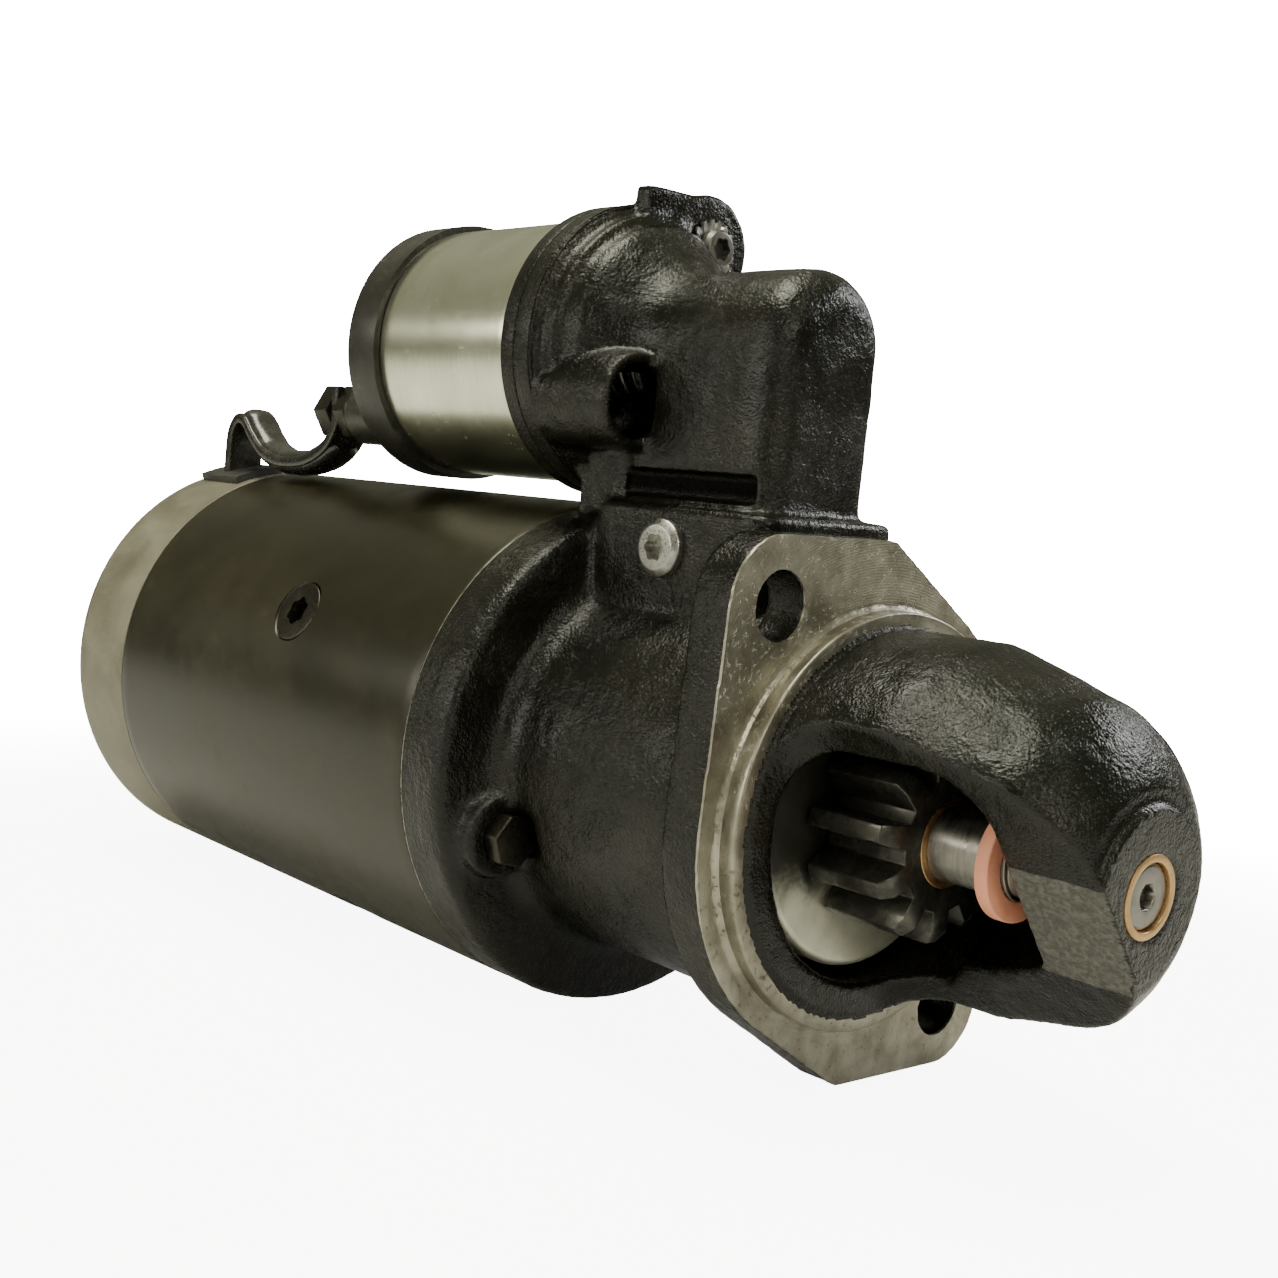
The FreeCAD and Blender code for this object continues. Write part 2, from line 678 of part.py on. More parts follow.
def bearing_cap():
    rear = S["cover_rear"]
    cap = turned("cap_bearing", [
        (rear, 0), (rear, 23.5), (rear - 1.5, 23.5), (rear - 1.5, 13.0), (rear - 3.0, 11.5), (rear - 3.0, 0),
    ])
    holes = [rod("cap_hole_%d" % (turn // 180 + 1), rear - 1.5, rear, 2.0,
                 polar_y(CAP_SCREW_RING, S["pole_turn"] + turn),
                 polar_z(CAP_SCREW_RING, S["pole_turn"] + turn)) for turn in (0, 180)]
    node("bearing_cap", cut("cap_drilled", cap, *holes))


def end_screws(name, ring_r, seat, tip):
    """Two pan-head screws in the rear face, at opposite places."""
    screws = Solid(name)
    shank = screws.extrude("YZ", seat, tip, ("circle", 0, ring_r, 2.0))
    head = screws.extrude("YZ", dim(seat) - 2.0, seat, ("circle", 0, ring_r, 3.6))
    recess = screws.extrude("YZ", dim(seat) - 2.0, dim(seat) - 0.8, hexagon(0, ring_r, 2.8), cut=True)
    screws.polar(2, shank, head, recess)
    turn_about_x(screws.body, S["pole_turn"] - 90)
    return screws.body


def brush_gear():
    rear = S["cover_rear"]
    holders = Solid("gear_holders")
    plate = holders.revolve(ring(-222.0, -219.5, 12.0, 37.0))
    sleeve = holders.extrude("YZ", -221.0, -192.5, rectangle(-8.5, 8.5, 25.0, 47.0))
    pocket = holders.extrude("XY", 24.0, 45.5, rectangle(-213.2, -194.8, -6.7, 6.7), cut=True)
    holders.polar(4, sleeve, pocket)
    pillar = holders.extrude("YZ", rear + S["cover_wall"], -221.0, ("circle", 0, PLATE_RING, 4.0))
    holders.polar(2, pillar)
    threads = holders.extrude("YZ", rear + S["cover_wall"], -226.0, ("circle", 0, PLATE_RING, 2.0), cut=True)
    holders.polar(2, threads)
    turn_about_x(holders.body, S["pole_turn"] - 90)
    node("brush_holders", holders.body)
    brushes = Solid("gear_brushes")
    contact = S["commutator_r"] + 0.05
    half = 6.5
    foot = (contact * contact - half * half).value ** 0.5
    block = brushes.extrude("YZ", -213.0, -195.0, [
        (-half, foot, 0, 0, contact, -1), (half, foot), (half, 36.0), (-half, 36.0),
    ])
    brushes.polar(4, block)
    turn_about_x(brushes.body, S["pole_turn"])
    node("brushes", brushes.body)
    springs = []
    for number in range(4):
        angle = S["pole_turn"] + 90 * number
        spring = coil_spring("brush_spring_%d" % (number + 1), 3.6, 0.7, 9.5, 4)
        turn_about_x(spring, angle - 90)
        move(spring, -204.0, polar_y(36.7, angle), polar_z(36.7, angle))
        springs.append(spring)
    node("brush_springs", group("springs_brush", *springs))


# ---------------------------------------------------------------- armature

def armature():
    shaft = Solid("shaft_armature")
    shaft.revolve([
        (-238.5, 0), (59.6, 0), (59.6, S["nose_journal_r"] - 0.6), (59.0, S["nose_journal_r"]),
        (36.5, S["nose_journal_r"]), (36.5, S["shaft_r"]), (-22.5, S["shaft_r"]), (-22.5, S["spline_r"]),
        (-66.5, S["spline_r"]), (-66.5, S["mid_journal_r"]), (-80.0, S["mid_journal_r"]),
        (-80.0, 14.0), (S["core_rear"] - 14.5, 14.0), (S["core_rear"] - 14.5, 11.0), (-219.0, 11.0),
        (-219.0, S["rear_journal_r"]), (-238.5, S["rear_journal_r"]),
    ])
    groove = shaft.extrude("YZ", -66.5, -22.5, sector(S["spline_root_r"], 9.6, 8), cut=True)
    shaft.polar(8, groove)
    shaft.revolve([(57.6, 0), (59.6, 0), (59.6, 2.3), (58.6, 1.7)], cut=True)
    node("armature_shaft", shaft.body)

    core = Solid("core_armature")
    core.revolve(ring(S["core_rear"], S["core_front"], 14.0, S["core_r"]))
    slot = core.extrude("YZ", S["core_rear"], S["core_front"], sector(27.0, 38.0, 3.2), cut=True)
    core.polar(S["slots"], slot)
    node("armature_core", core.body)

    windings = Solid("windings_armature")
    rear_head, front_head = S["core_rear"] - 0.3, S["core_front"] + 0.3
    windings.revolve([
        (rear_head - 14.2, 17.0), (rear_head, 17.0), (rear_head, 35.0), (rear_head - 8, 35.0), (rear_head - 14.2, 28.0),
    ])
    windings.revolve([
        (front_head, 17.0), (front_head + 11.0, 17.0), (front_head + 11.0, 30.0), (front_head + 7, 35.0),
        (front_head, 35.0),
    ])
    bar = windings.extrude("YZ", rear_head - 1, front_head + 1, sector(27.3, 35.0, 2.9))
    windings.polar(S["slots"], bar)
    node("armature_windings", windings.body)

    copper = Solid("copper_commutator")
    riser = S["core_rear"] - 14.5
    copper.revolve(ring(-217.0, riser, 11.0, S["commutator_r"]))
    copper.revolve(ring(riser - 4.5, riser, 21.0, 27.0))
    groove = copper.extrude("YZ", -217.0, riser, sector(20.6, 28.0, 0.9), cut=True)
    copper.polar(S["slots"], groove)
    node("commutator", copper.body)

    node("thrust_washer", turned("washer_thrust", ring(33.0, 35.8, S["shaft_r"], 11.0)))
    node("rear_thrust_washer", turned("washer_rear", ring(-227.6, -226.2, S["rear_journal_r"], 11.5)))


# ---------------------------------------------------------------- drive and pinion

def drive():
    race_in, roller_ring, roller = S["race_r"] + 0.5, 15.5, 3.47
    body = Solid("body_clutch")
    body.revolve(ring(-58.0, -26.0, 9.1, S["sleeve_r"]))
    body.revolve(ring(-26.0, -23.5, 9.1, 27.5))
    body.revolve(ring(-23.5, -3.0, race_in, 27.5))
    tooth = body.extrude("YZ", -57.0, -27.0, sector(8.0, 9.6, 6.4))
    body.polar(8, tooth)
    pocket = body.extrude("YZ", -23.5, -3.0, ("circle", 0, roller_ring, 3.6), cut=True)
    body.polar(5, pocket)
    node("clutch_body", body.body)

    node("clutch_shell", turned("shell_clutch", [
        (-26.5, 27.5), (-2.8, 27.5), (-2.8, race_in), (1.0, race_in),
        (1.0, S["drum_r"] - 1.5, -0.5, S["drum_r"] - 1.5, 1.5, 1), (-0.5, S["drum_r"]), (-26.5, S["drum_r"]),
    ]))

    rollers = Solid("rollers_clutch")
    one = rollers.extrude("YZ", -22.5, -4.0, ("circle", 0, roller_ring, roller))
    rollers.polar(5, one)
    node("clutch_rollers", rollers.body)

    sleeve, guide_r, groove = S["sleeve_r"], 19.0, S["groove_x"]
    node("guide_ring", turned("ring_guide", [
        (groove - 6.3, sleeve), (groove + 6.3, sleeve), (groove + 6.3, guide_r), (groove + 4.0, guide_r),
        (groove + 4.0, 14.0), (groove - 4.0, 14.0), (groove - 4.0, guide_r), (groove - 6.3, guide_r),
    ]))
    node("guide_clip", turned("clip_guide", ring(groove - 7.9, groove - 6.35, sleeve, 15.6)))
    node("mesh_spring", spring_along_x("spring_mesh", groove + 6.4, 15.6, 1.2, 15.6, 4))


def tooth_space():
    """One gap between pinion teeth, centred on +Z, cut from outside the tip circle."""
    root, tip = S["pinion_root_r"], S["pinion_tip_r"] + 0.6
    foot, waist, mouth = 6.0, 8.2, 11.9
    waist_r = 16.4
    return [
        (root * sine(foot), root * cosine(foot)),
        (waist_r * sine(waist), waist_r * cosine(waist)),
        (tip * sine(mouth), tip * cosine(mouth)),
        (-tip * sine(mouth), tip * cosine(mouth)),
        (-waist_r * sine(waist), waist_r * cosine(waist)),
        (-root * sine(foot), root * cosine(foot)),
    ]


def pinion():
    rear, front, tip = S["pinion_rear"], S["pinion_front"], S["pinion_tip_r"]
    gear = Solid("gear_pinion")
    bore = 8.6
    gear.revolve([
        (-22.5, bore), (front, bore), (front, tip - 2.2), (front - 1.6, tip), (rear, tip), (rear, S["race_r"]),
        (-22.5, S["race_r"]),
    ])
    space = gear.extrude("YZ", rear, front, tooth_space(), cut=True)
    gear.polar(S["teeth"], space)
    node("pinion", gear.body)
    node("pinion_bush", turned("bush_pinion", ring(-22.5, front, S["shaft_r"] + S["bush_gap"], bore)))


# ---------------------------------------------------------------- solenoid

def solenoid():
    z = S["sol_z"]
    front, rear, inside = S["can_front"], S["can_rear"], S["can_r"] - S["can_wall"]
    seat = S["seat_x"]
    node("solenoid_can", turned("can_tube", ring(rear, front, inside, S["can_r"]), z=z))
    blank = turned("plate_blank", [
        (front - 6.8, 10.95), (seat, 10.95), (seat, S["collar_r"]), (front, S["collar_r"]), (front, inside),
        (front - 6.8, inside),
    ], z=z)
    ears, holes = [], []
    for number, (y, screw_z, boss, *_) in enumerate(seat_screws_layout(), 1):
        if number == 1:
            ears.append(rod("plate_ear", front, seat, boss, y, screw_z))
        holes.append(rod("plate_hole_%d" % number, front, seat, 2.9, y, screw_z))
    bore = rod("plate_bore", front - 6.8, seat, 10.95, 0, z)
    node("solenoid_front_plate", cut("plate_drilled", fuse("plate_eared", blank, *ears), bore, *holes))
    node("solenoid_sleeve", turned("sleeve_brass", ring(rear + 5.2, seat, 10.0, 10.95), z=z))
    bobbin_front, bobbin_rear = front - 6.9, rear + 4.8
    node("coil_bobbin", turned("bobbin", [
        (bobbin_rear, 11.0), (bobbin_front, 11.0), (bobbin_front, 27.5), (bobbin_front - 1.6, 27.5),
        (bobbin_front - 1.6, 12.2), (bobbin_rear + 1.6, 12.2), (bobbin_rear + 1.6, 27.5), (bobbin_rear, 27.5),
    ], z=z))
    node("solenoid_coil", turned("coil_copper", ring(bobbin_rear + 1.7, bobbin_front - 1.7, 12.2, 26.4), z=z))
    node("solenoid_core", turned("core_fixed", [
        (rear, 2.7), (-124.5, 2.7), (-124.5, S["plunger_r"]), (rear + 4.7, S["plunger_r"]),
        (rear + 4.7, inside), (rear, inside),
    ], z=z))


def seat_screws():
    screws, washers = [], []
    washer_t, head_t = 1.2, 4.0
    for number, (y, z, _, _, seat, _) in enumerate(seat_screws_layout(), 1):
        under = seat + washer_t
        shank = rod("seat_shank_%d" % number, S["can_front"] + 0.2, under, 2.9, y, z)
        head = rod("seat_head_%d" % number, under, under + head_t, 4.8, y, z)
        recess = Solid("seat_recess_%d" % number)
        recess.extrude("YZ", under + head_t - 2.2, under + head_t, hexagon(0, 0, 4.4))
        move(recess.body, y=y, z=z)
        screws.append(cut("seat_screw_%d" % number, fuse("seat_blank_%d" % number, shank, head), recess.body))
        disc = rod("washer_disc_%d" % number, seat, under, 6.2, y, z)
        bore = rod("washer_bore_%d" % number, seat, under, 2.9, y, z)
        washers.append(cut("washer_%d" % number, disc, bore))
    node("solenoid_screws", group("screws_seat", *screws))
    node("screw_washers", group("washers_seat", *washers))


# ---------------------------------------------------------------- contacts and connections

def stud_places():
    """Motor stud first, battery stud opposite it."""
    places = []
    for turn in (0, 180):
        angle = S["stud_angle"] + turn
        places.append((polar_y(S["stud_ring"], angle), S["sol_z"] + polar_z(S["stud_ring"], angle)))
    return places


STUD_HEAD_FRONT = -143.2
CAP_FLOOR = -146.0


def solenoid_cap():
    """Flange, centre block and a boss round each stud, hollow for the contact disc."""
    z, rear, step, end = S["sol_z"], S["can_rear"], S["cap_step"], S["cap_rear"]
    cap = turned("cap_moulding", [
        (rear, 26.5), (CAP_FLOOR, 26.5), (CAP_FLOOR, 7.0), (-158.5, 7.0), (-158.5, 0), (end, 0),
        (end, S["cap_block_r"] - 1), (end + 1, S["cap_block_r"]), (step, S["cap_block_r"]),
        (step, S["cap_r"] - 1), (step + 1, S["cap_r"]), (rear, S["cap_r"]),
    ], z=z)
    bosses, holes = [], []
    for number, (y, stud_z) in enumerate(stud_places(), 1):
        bosses.append(rod("cap_boss_%d" % number, S["stud_seat"], step + 1, 8.0, y, stud_z))
        holes.append(rod("stud_hole_%d" % number, S["stud_seat"], CAP_FLOOR, S["stud_core_r"], y, stud_z))
    slot = box("blade_slot", end, -156.0, -0.4, 0.4, 71.6, 77.9)
    node("solenoid_cap", cut("cap_drilled_through", fuse("cap_bossed", cap, *bosses), slot, *holes))
    node("signal_terminal", box("blade", -178.0, -156.0, -0.4, 0.4, 71.6, 77.9))


def studs():
    """Two studs with their washers, and two nuts on each."""
    made, nuts, washers = [], [], []
    washer_rear = S["stud_seat"] - 1.5
    nut_rear = washer_rear - 6.0
    lug_rear = nut_rear - S["strap_t"]
    for number, (y, z) in enumerate(stud_places(), 1):
        head = rod("stud_head_%d" % number, CAP_FLOOR, STUD_HEAD_FRONT, 5.0, y, z)
        shank = rod("stud_shank_%d" % number, S["stud_tip"], CAP_FLOOR, S["stud_core_r"], y, z)
        second = lug_rear if number == 1 else nut_rear
        free_end = rod("stud_end_%d" % number, S["stud_tip"], second - 6.0, S["stud_r"], y, z)
        made.append(fuse("stud_%d" % number, head, shank, free_end))
        washer = rod("stud_washer_disc_%d" % number, washer_rear, S["stud_seat"], 8.0, y, z)
        bore = rod("stud_washer_bore_%d" % number, washer_rear, S["stud_seat"], S["stud_core_r"], y, z)
        washers.append(cut("stud_washer_%d" % number, washer, bore))
        for rank, front in enumerate((washer_rear, second), 1):
            nut = Solid("nut_%d_%d" % (number, rank))
            nut.extrude("YZ", front - 6.0, front, hexagon(0, 0, 13.0))
            nut.extrude("YZ", front - 6.0, front, ("circle", 0, 0, S["stud_core_r"]), cut=True)
            move(nut.body, y=y, z=z)
            nuts.append(nut.body)
    node("contact_studs", group("studs_contact", *made))
    node("stud_nuts", group("nuts_stud", *nuts))
    node("stud_washers", group("washers_stud", *washers))


def hump_centre():
    reach = S["dip_r"] + S["hump_r"]
    return S["dip_rear_x"] + reach * cosine(S["strap_join"]), S["dip_z"] + reach * sine(S["strap_join"])


def strap_loop(t):
    """Side outline of the strap, t thick: lug, dip over the yoke, hump, and leg into the grommet."""
    dip_z, dip, hump, join = S["dip_z"], S["dip_r"], S["hump_r"], S["strap_join"]
    outer, inner = dip + t / 2, dip - t / 2
    small, large = hump - t / 2, hump + t / 2
    front_x, rear_x = S["lug_x"] - dip, S["dip_rear_x"]
    hump_x, hump_z = hump_centre()
    top, foot = 79.3, 46.6
    return [
        (front_x + outer, top),
        (front_x + outer, dip_z, front_x, dip_z, outer, -1), (front_x, dip_z - outer),
        (rear_x, dip_z - outer, rear_x, dip_z, outer, -1),
        (rear_x + outer * cosine(join), dip_z + outer * sine(join), hump_x, hump_z, small, 1),
        (hump_x - small, hump_z), (hump_x - small, foot), (hump_x - large, foot),
        (hump_x - large, hump_z, hump_x, hump_z, large, -1),
        (rear_x + inner * cosine(join), dip_z + inner * sine(join), rear_x, dip_z, inner, 1),
        (rear_x, dip_z - inner),
        (front_x, dip_z - inner, front_x, dip_z, inner, 1), (front_x + inner, dip_z),
        (front_x + inner, top),
    ]


def connection():
    strap = Solid("strap_bar")
    strap.extrude("XZ", -S["strap_y"] - S["strap_half"], -S["strap_y"] + S["strap_half"], strap_loop(S["strap_t"]))
    y, z = stud_places()[0]
    hole = rod("strap_hole", S["lug_x"] - 3, S["stud_seat"], S["stud_core_r"], y, z)
    node("connector_strap", cut("strap_drilled", strap.body, hole))
    leg_front = hump_centre()[0] - S["hump_r"] + S["strap_t"] / 2
    block = Solid("grommet_block")
    block.extrude("YZ", GROMMET_REAR, GROMMET_FRONT, grommet_section(48.5, 58.0))
    passage = box("grommet_slot", leg_front - S["strap_t"], leg_front,
                  S["strap_y"] - S["strap_half"], S["strap_y"] + S["strap_half"], 44.0, 62.0)
    node("strap_grommet", cut("grommet_slotted", block.body, passage))
    lead = Solid("lead_field")
    lead.extrude("YZ", -235.5, S["core_rear"] - 9, sector(44.0, 46.9, 5, middle=105.5))
    node("field_lead", lead.body)


def moving_contact():
    z = S["sol_z"]
    node("contact_rod", turned("rod_contact", [(-148.0, 0), (-120.7, 0), (-120.7, 2.4), (-148.0, 2.4)], z=z))
    node("contact_disc", turned("disc_contact", ring(-140.2, -137.2, 2.4, 22.0), z=z))
    node("contact_spring", spring_along_x("spring_contact", -158.5, 4.4, 0.7, 18.3, 5, z=z))


# ---------------------------------------------------------------- plunger and lever

def lever_tilt():
    """Tilt of the lever at rest: half of its swing to either side of upright."""
    half = S["plunger_travel"] / 2
    arm = S["sol_z"] - S["pivot_z"]
    return Dim(math.degrees(math.atan2(half.value, arm.value)), "atan(%s / %s)" % (half.text, arm.text))


def plunger():
    z = S["sol_z"]
    pin_x = S["pivot_x"] + S["plunger_travel"] / 2
    body = turned("plunger_turned", [
        (-113.0, 0), (pin_x + 5.0, 0), (pin_x + 5.0, 4.4), (-61.0, 4.4), (-61.0, 8.0), (-62.0, S["plunger_r"] - 1),
        (-62.0, 14.6), (-64.0, 14.6), (-64.0, S["plunger_r"]), (-112.0, S["plunger_r"]), (-113.0, S["plunger_r"] - 1),
    ], z=z)
    eye = cross_rod("plunger_eye", pin_x, -4.4, 4.4, z, S["pin_r"])
    node("plunger", cut("plunger_drilled", body, eye))
    node("plunger_pin", cross_rod("pin_plunger", pin_x, -9.2, 9.2, z, S["pin_r"]))
    node("return_spring", spring_along_x("spring_return", S["seat_x"], 12.8, 1.1, 18.4, 4, z=z))


def shift_lever():
    """Lever drawn upright about its pivot, then tilted to rest."""
    reach = S["pivot_z"]
    arm = S["sol_z"] - S["pivot_z"]
    half_t = 3.5
    arch = Solid("lever_arch")
    arch.extrude("YZ", -half_t, half_t, sector(20.3, 28.0, 96))
    move(arch.body, z=-reach)
    stem = box("lever_stem", -half_t, half_t, -7.0, 7.0, -reach + 24.0, 2.0)
    hub = cross_rod("lever_hub", 0, -10.5, 10.5, 0, 8.0)
    upper = box("lever_upper", -half_t, half_t, -9.0, 9.0, 0, arm - 4.0)
    prongs = [box("lever_prong_1", -6.0, 6.0, 5.0, 9.0, arm - 9.0, arm + 6.0),
              box("lever_prong_2", -6.0, 6.0, -9.0, -5.0, arm - 9.0, arm + 6.0)]
    pins = [cross_rod("fork_pin_1", 0, 14.2, 21.0, -reach, S["fork_pin_r"]),
            cross_rod("fork_pin_2", 0, -21.0, -14.2, -reach, S["fork_pin_r"])]
    bore = cross_rod("lever_bore", 0, -11.0, 11.0, 0, S["pivot_r"] + 0.04)
    gap = box("lever_gap", -7.0, 7.0, -5.0, 5.0, arm - 6.5, arm + 8.0)
    slot_half = S["pin_r"] + 0.25
    slot = box("lever_pin_slot", -slot_half, slot_half, -10.0, 10.0, arm - 3.2, arm + 8.0)
    lever = cut("lever_forged", fuse("lever_raw", arch.body, stem, hub, upper, *(prongs + pins)), bore, gap, slot)
    tilt = lever_tilt()
    lever.Placement = Placement(Vector(0, 0, 0), Rotation(Vector(0, 1, 0), tilt.value))
    bind(lever, "Placement.Rotation.Angle", tilt)
    move(lever, S["pivot_x"], 0, S["pivot_z"])
    node("shift_lever", lever)
    x, z, side = S["pivot_x"], S["pivot_z"], -S["block_half"]
    shank = cross_rod("pivot_shank", x, side, 16.5, z, S["pivot_r"] - 0.02)
    head = cross_rod("pivot_head", x, side - 2.6, side, z, 5.9)
    recess = cross_rod("pivot_recess", x, side - 2.6, side - 0.6, z, 2.7)
    node("lever_pivot", cut("pivot_screw", fuse("pivot_blank", shank, head), recess))


def write_parts():
    """Check every object, then write one STEP file for each named sub-part."""
    doc.recompute()
    for thing in doc.Objects:
        if "Invalid" in thing.State or "Error" in thing.State:
            raise RuntimeError("%s is not sound: %s" % (thing.Name, thing.State))
    for name, thing in NODES:
        if thing.Shape.isNull() or not thing.Shape.isValid():
            raise RuntimeError("%s has no sound shape" % name)
        thing.Shape.exportStep(os.path.join("parts", name + ".step"))
        print("%-24s %2d solids %10.1f mm3" % (name, len(thing.Shape.Solids), thing.Shape.Volume))


drive_housing()
bearings()
yoke()
pole_shoes()
pole_screws()
field_coils()
through_bolts()
rear_cover()
bearing_cap()
node("cap_screws", end_screws("screws_cap", CAP_SCREW_RING, S["cover_rear"] - 1.5, S["cover_rear"] + S["cover_wall"]))
node("plate_screws", end_screws("screws_plate", PLATE_RING, S["cover_rear"], -229.0))
brush_gear()
armature()
drive()
pinion()
solenoid()
seat_screws()
solenoid_cap()
studs()
connection()
moving_contact()
plunger()
shift_lever()
write_parts()
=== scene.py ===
import json
import math

import bmesh
import bpy
import numpy as np
from mathutils import Matrix, Vector, noise


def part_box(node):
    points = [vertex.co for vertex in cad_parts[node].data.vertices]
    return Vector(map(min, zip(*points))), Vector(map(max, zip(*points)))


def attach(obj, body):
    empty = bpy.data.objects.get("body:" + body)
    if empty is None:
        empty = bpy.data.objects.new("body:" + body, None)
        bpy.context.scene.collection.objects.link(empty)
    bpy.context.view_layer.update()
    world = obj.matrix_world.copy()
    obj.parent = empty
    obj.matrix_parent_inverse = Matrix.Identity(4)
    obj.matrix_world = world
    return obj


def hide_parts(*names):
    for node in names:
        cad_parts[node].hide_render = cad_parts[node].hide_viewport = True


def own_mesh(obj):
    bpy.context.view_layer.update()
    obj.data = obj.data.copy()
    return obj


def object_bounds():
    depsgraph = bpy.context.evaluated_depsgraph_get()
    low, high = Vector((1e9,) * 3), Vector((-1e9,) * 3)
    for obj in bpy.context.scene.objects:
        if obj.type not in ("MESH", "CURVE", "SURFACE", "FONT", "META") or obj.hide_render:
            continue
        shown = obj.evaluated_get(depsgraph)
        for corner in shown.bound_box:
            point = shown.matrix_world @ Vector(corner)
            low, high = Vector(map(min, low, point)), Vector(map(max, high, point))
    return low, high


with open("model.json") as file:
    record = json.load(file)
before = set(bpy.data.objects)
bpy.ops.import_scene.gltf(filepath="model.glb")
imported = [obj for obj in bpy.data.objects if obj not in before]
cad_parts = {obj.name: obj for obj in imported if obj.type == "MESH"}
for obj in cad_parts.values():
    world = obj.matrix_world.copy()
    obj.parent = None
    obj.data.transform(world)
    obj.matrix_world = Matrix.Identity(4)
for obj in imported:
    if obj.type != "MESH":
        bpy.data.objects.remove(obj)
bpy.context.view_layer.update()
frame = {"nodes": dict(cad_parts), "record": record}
nodes = frame["nodes"]
record = frame["record"]
joints = record["behaviour"]["joints"]
body_of = {node: body for body, names in record["behaviour"]["bodies"].items() for node in names}
slot_of = {part["node"]: part["material_slot"] for part in record["subparts"]}

# Shapes are in millimetres, with X along the shaft and x = 0 in the flange face.
MM = 0.001
SOLENOID_Z = 89.6
WELD = 2e-6  # metres within which CAD vertices are joined
WAVE_PITCH = 0.314  # pitch of Blender's wave texture at scale 1
DUST = (0.13, 0.12, 0.095)


# ------------------------------------------------------------------ materials

class Look:
    """A procedural material, built link by link."""

    def __init__(self, name):
        self.material = bpy.data.materials.new(name)
        self.material.use_nodes = True
        self.tree = self.material.node_tree
        self.shader = self.tree.nodes["Principled BSDF"]
        self.coord = self.tree.nodes.new("ShaderNodeTexCoord").outputs["Object"]

    def link(self, a, b):
        self.tree.links.new(a, b)

    def feed(self, node, socket, value):
        if isinstance(value, bpy.types.NodeSocket):
            self.link(value, node.inputs[socket])
        else:
            node.inputs[socket].default_value = value

    def stretched(self, x, y, z):
        """Object coordinates scaled by x, y and z, for streaks and turning marks."""
        mapping = self.tree.nodes.new("ShaderNodeMapping")
        self.link(self.coord, mapping.inputs["Vector"])
        mapping.inputs["Scale"].default_value = (x, y, z)
        return mapping.outputs["Vector"]

    def noise(self, size_mm, detail=3.0, roughness=0.55, vector=None, distortion=0.0):
        """Fractal noise whose largest grains are about size_mm across."""
        n = self.tree.nodes.new("ShaderNodeTexNoise")
        self.link(vector or self.coord, n.inputs["Vector"])
        n.inputs["Scale"].default_value = 1.0 / (size_mm * MM)
        n.inputs["Detail"].default_value = detail
        n.inputs["Roughness"].default_value = roughness
        n.inputs["Distortion"].default_value = distortion
        return n.outputs["Fac"]

    def waves(self, pitch_mm, distortion, kind="BANDS"):
        """Even ridges, side by side along X or as rings about it."""
        wave = self.tree.nodes.new("ShaderNodeTexWave")
        wave.wave_type = kind
        wave.bands_direction = wave.rings_direction = "X"
        wave.inputs["Scale"].default_value = WAVE_PITCH / (pitch_mm * MM)
        wave.inputs["Distortion"].default_value = distortion
        self.link(self.coord, wave.inputs["Vector"])
        return wave

    def remap(self, value, lo, hi, to_lo=0.0, to_hi=1.0):
        m = self.tree.nodes.new("ShaderNodeMapRange")
        m.interpolation_type = "SMOOTHSTEP"
        self.feed(m, "Value", value)
        self.feed(m, "From Min", lo)
        self.feed(m, "From Max", hi)
        self.feed(m, "To Min", to_lo)
        self.feed(m, "To Max", to_hi)
        return m.outputs["Result"]

    def math(self, operation, a, b=0.0):
        m = self.tree.nodes.new("ShaderNodeMath")
        m.operation = operation
        self.feed(m, 0, a)
        self.feed(m, 1, b)
        return m.outputs[0]

    def frayed(self, mask, grain, amount):
        """A mask whose border wanders with a noise."""
        return self.math("ADD", mask, self.math("MULTIPLY", self.math("SUBTRACT", grain, 0.5), amount))

    def mix(self, factor, a, b):
        """A colour between a and b."""
        m = self.tree.nodes.new("ShaderNodeMix")
        m.data_type = "RGBA"
        for socket, value in ((m.inputs[0], factor), (m.inputs[6], a), (m.inputs[7], b)):
            if isinstance(value, bpy.types.NodeSocket):
                self.link(value, socket)
            elif isinstance(value, (tuple, list)):
                socket.default_value = (*value[:3], 1.0)
            else:
                socket.default_value = value
        return m.outputs[2]

    def blend(self, factor, a, b):
        """A number between a and b."""
        m = self.tree.nodes.new("ShaderNodeMix")
        m.data_type = "FLOAT"
        for socket, value in ((m.inputs[0], factor), (m.inputs[2], a), (m.inputs[3], b)):
            if isinstance(value, bpy.types.NodeSocket):
                self.link(value, socket)
            else:
                socket.default_value = value
        return m.outputs[0]

    def attribute(self, name):
        a = self.tree.nodes.new("ShaderNodeAttribute")
        a.attribute_name = name
        return a.outputs["Fac"]

    def bump(self, *layers):
        """Relief from (height, depth in mm, strength) layers, one over the other."""
        last = None
        for height, depth, strength in layers:
            b = self.tree.nodes.new("ShaderNodeBump")
            b.inputs["Distance"].default_value = depth * MM
            self.feed(b, "Strength", strength)
            self.link(height, b.inputs["Height"])
            if last is not None:
                self.link(last, b.inputs["Normal"])
            last = b.outputs["Normal"]
        self.link(last, self.shader.inputs["Normal"])

    def give(self, socket, value):
        self.feed(self.shader, socket, value)


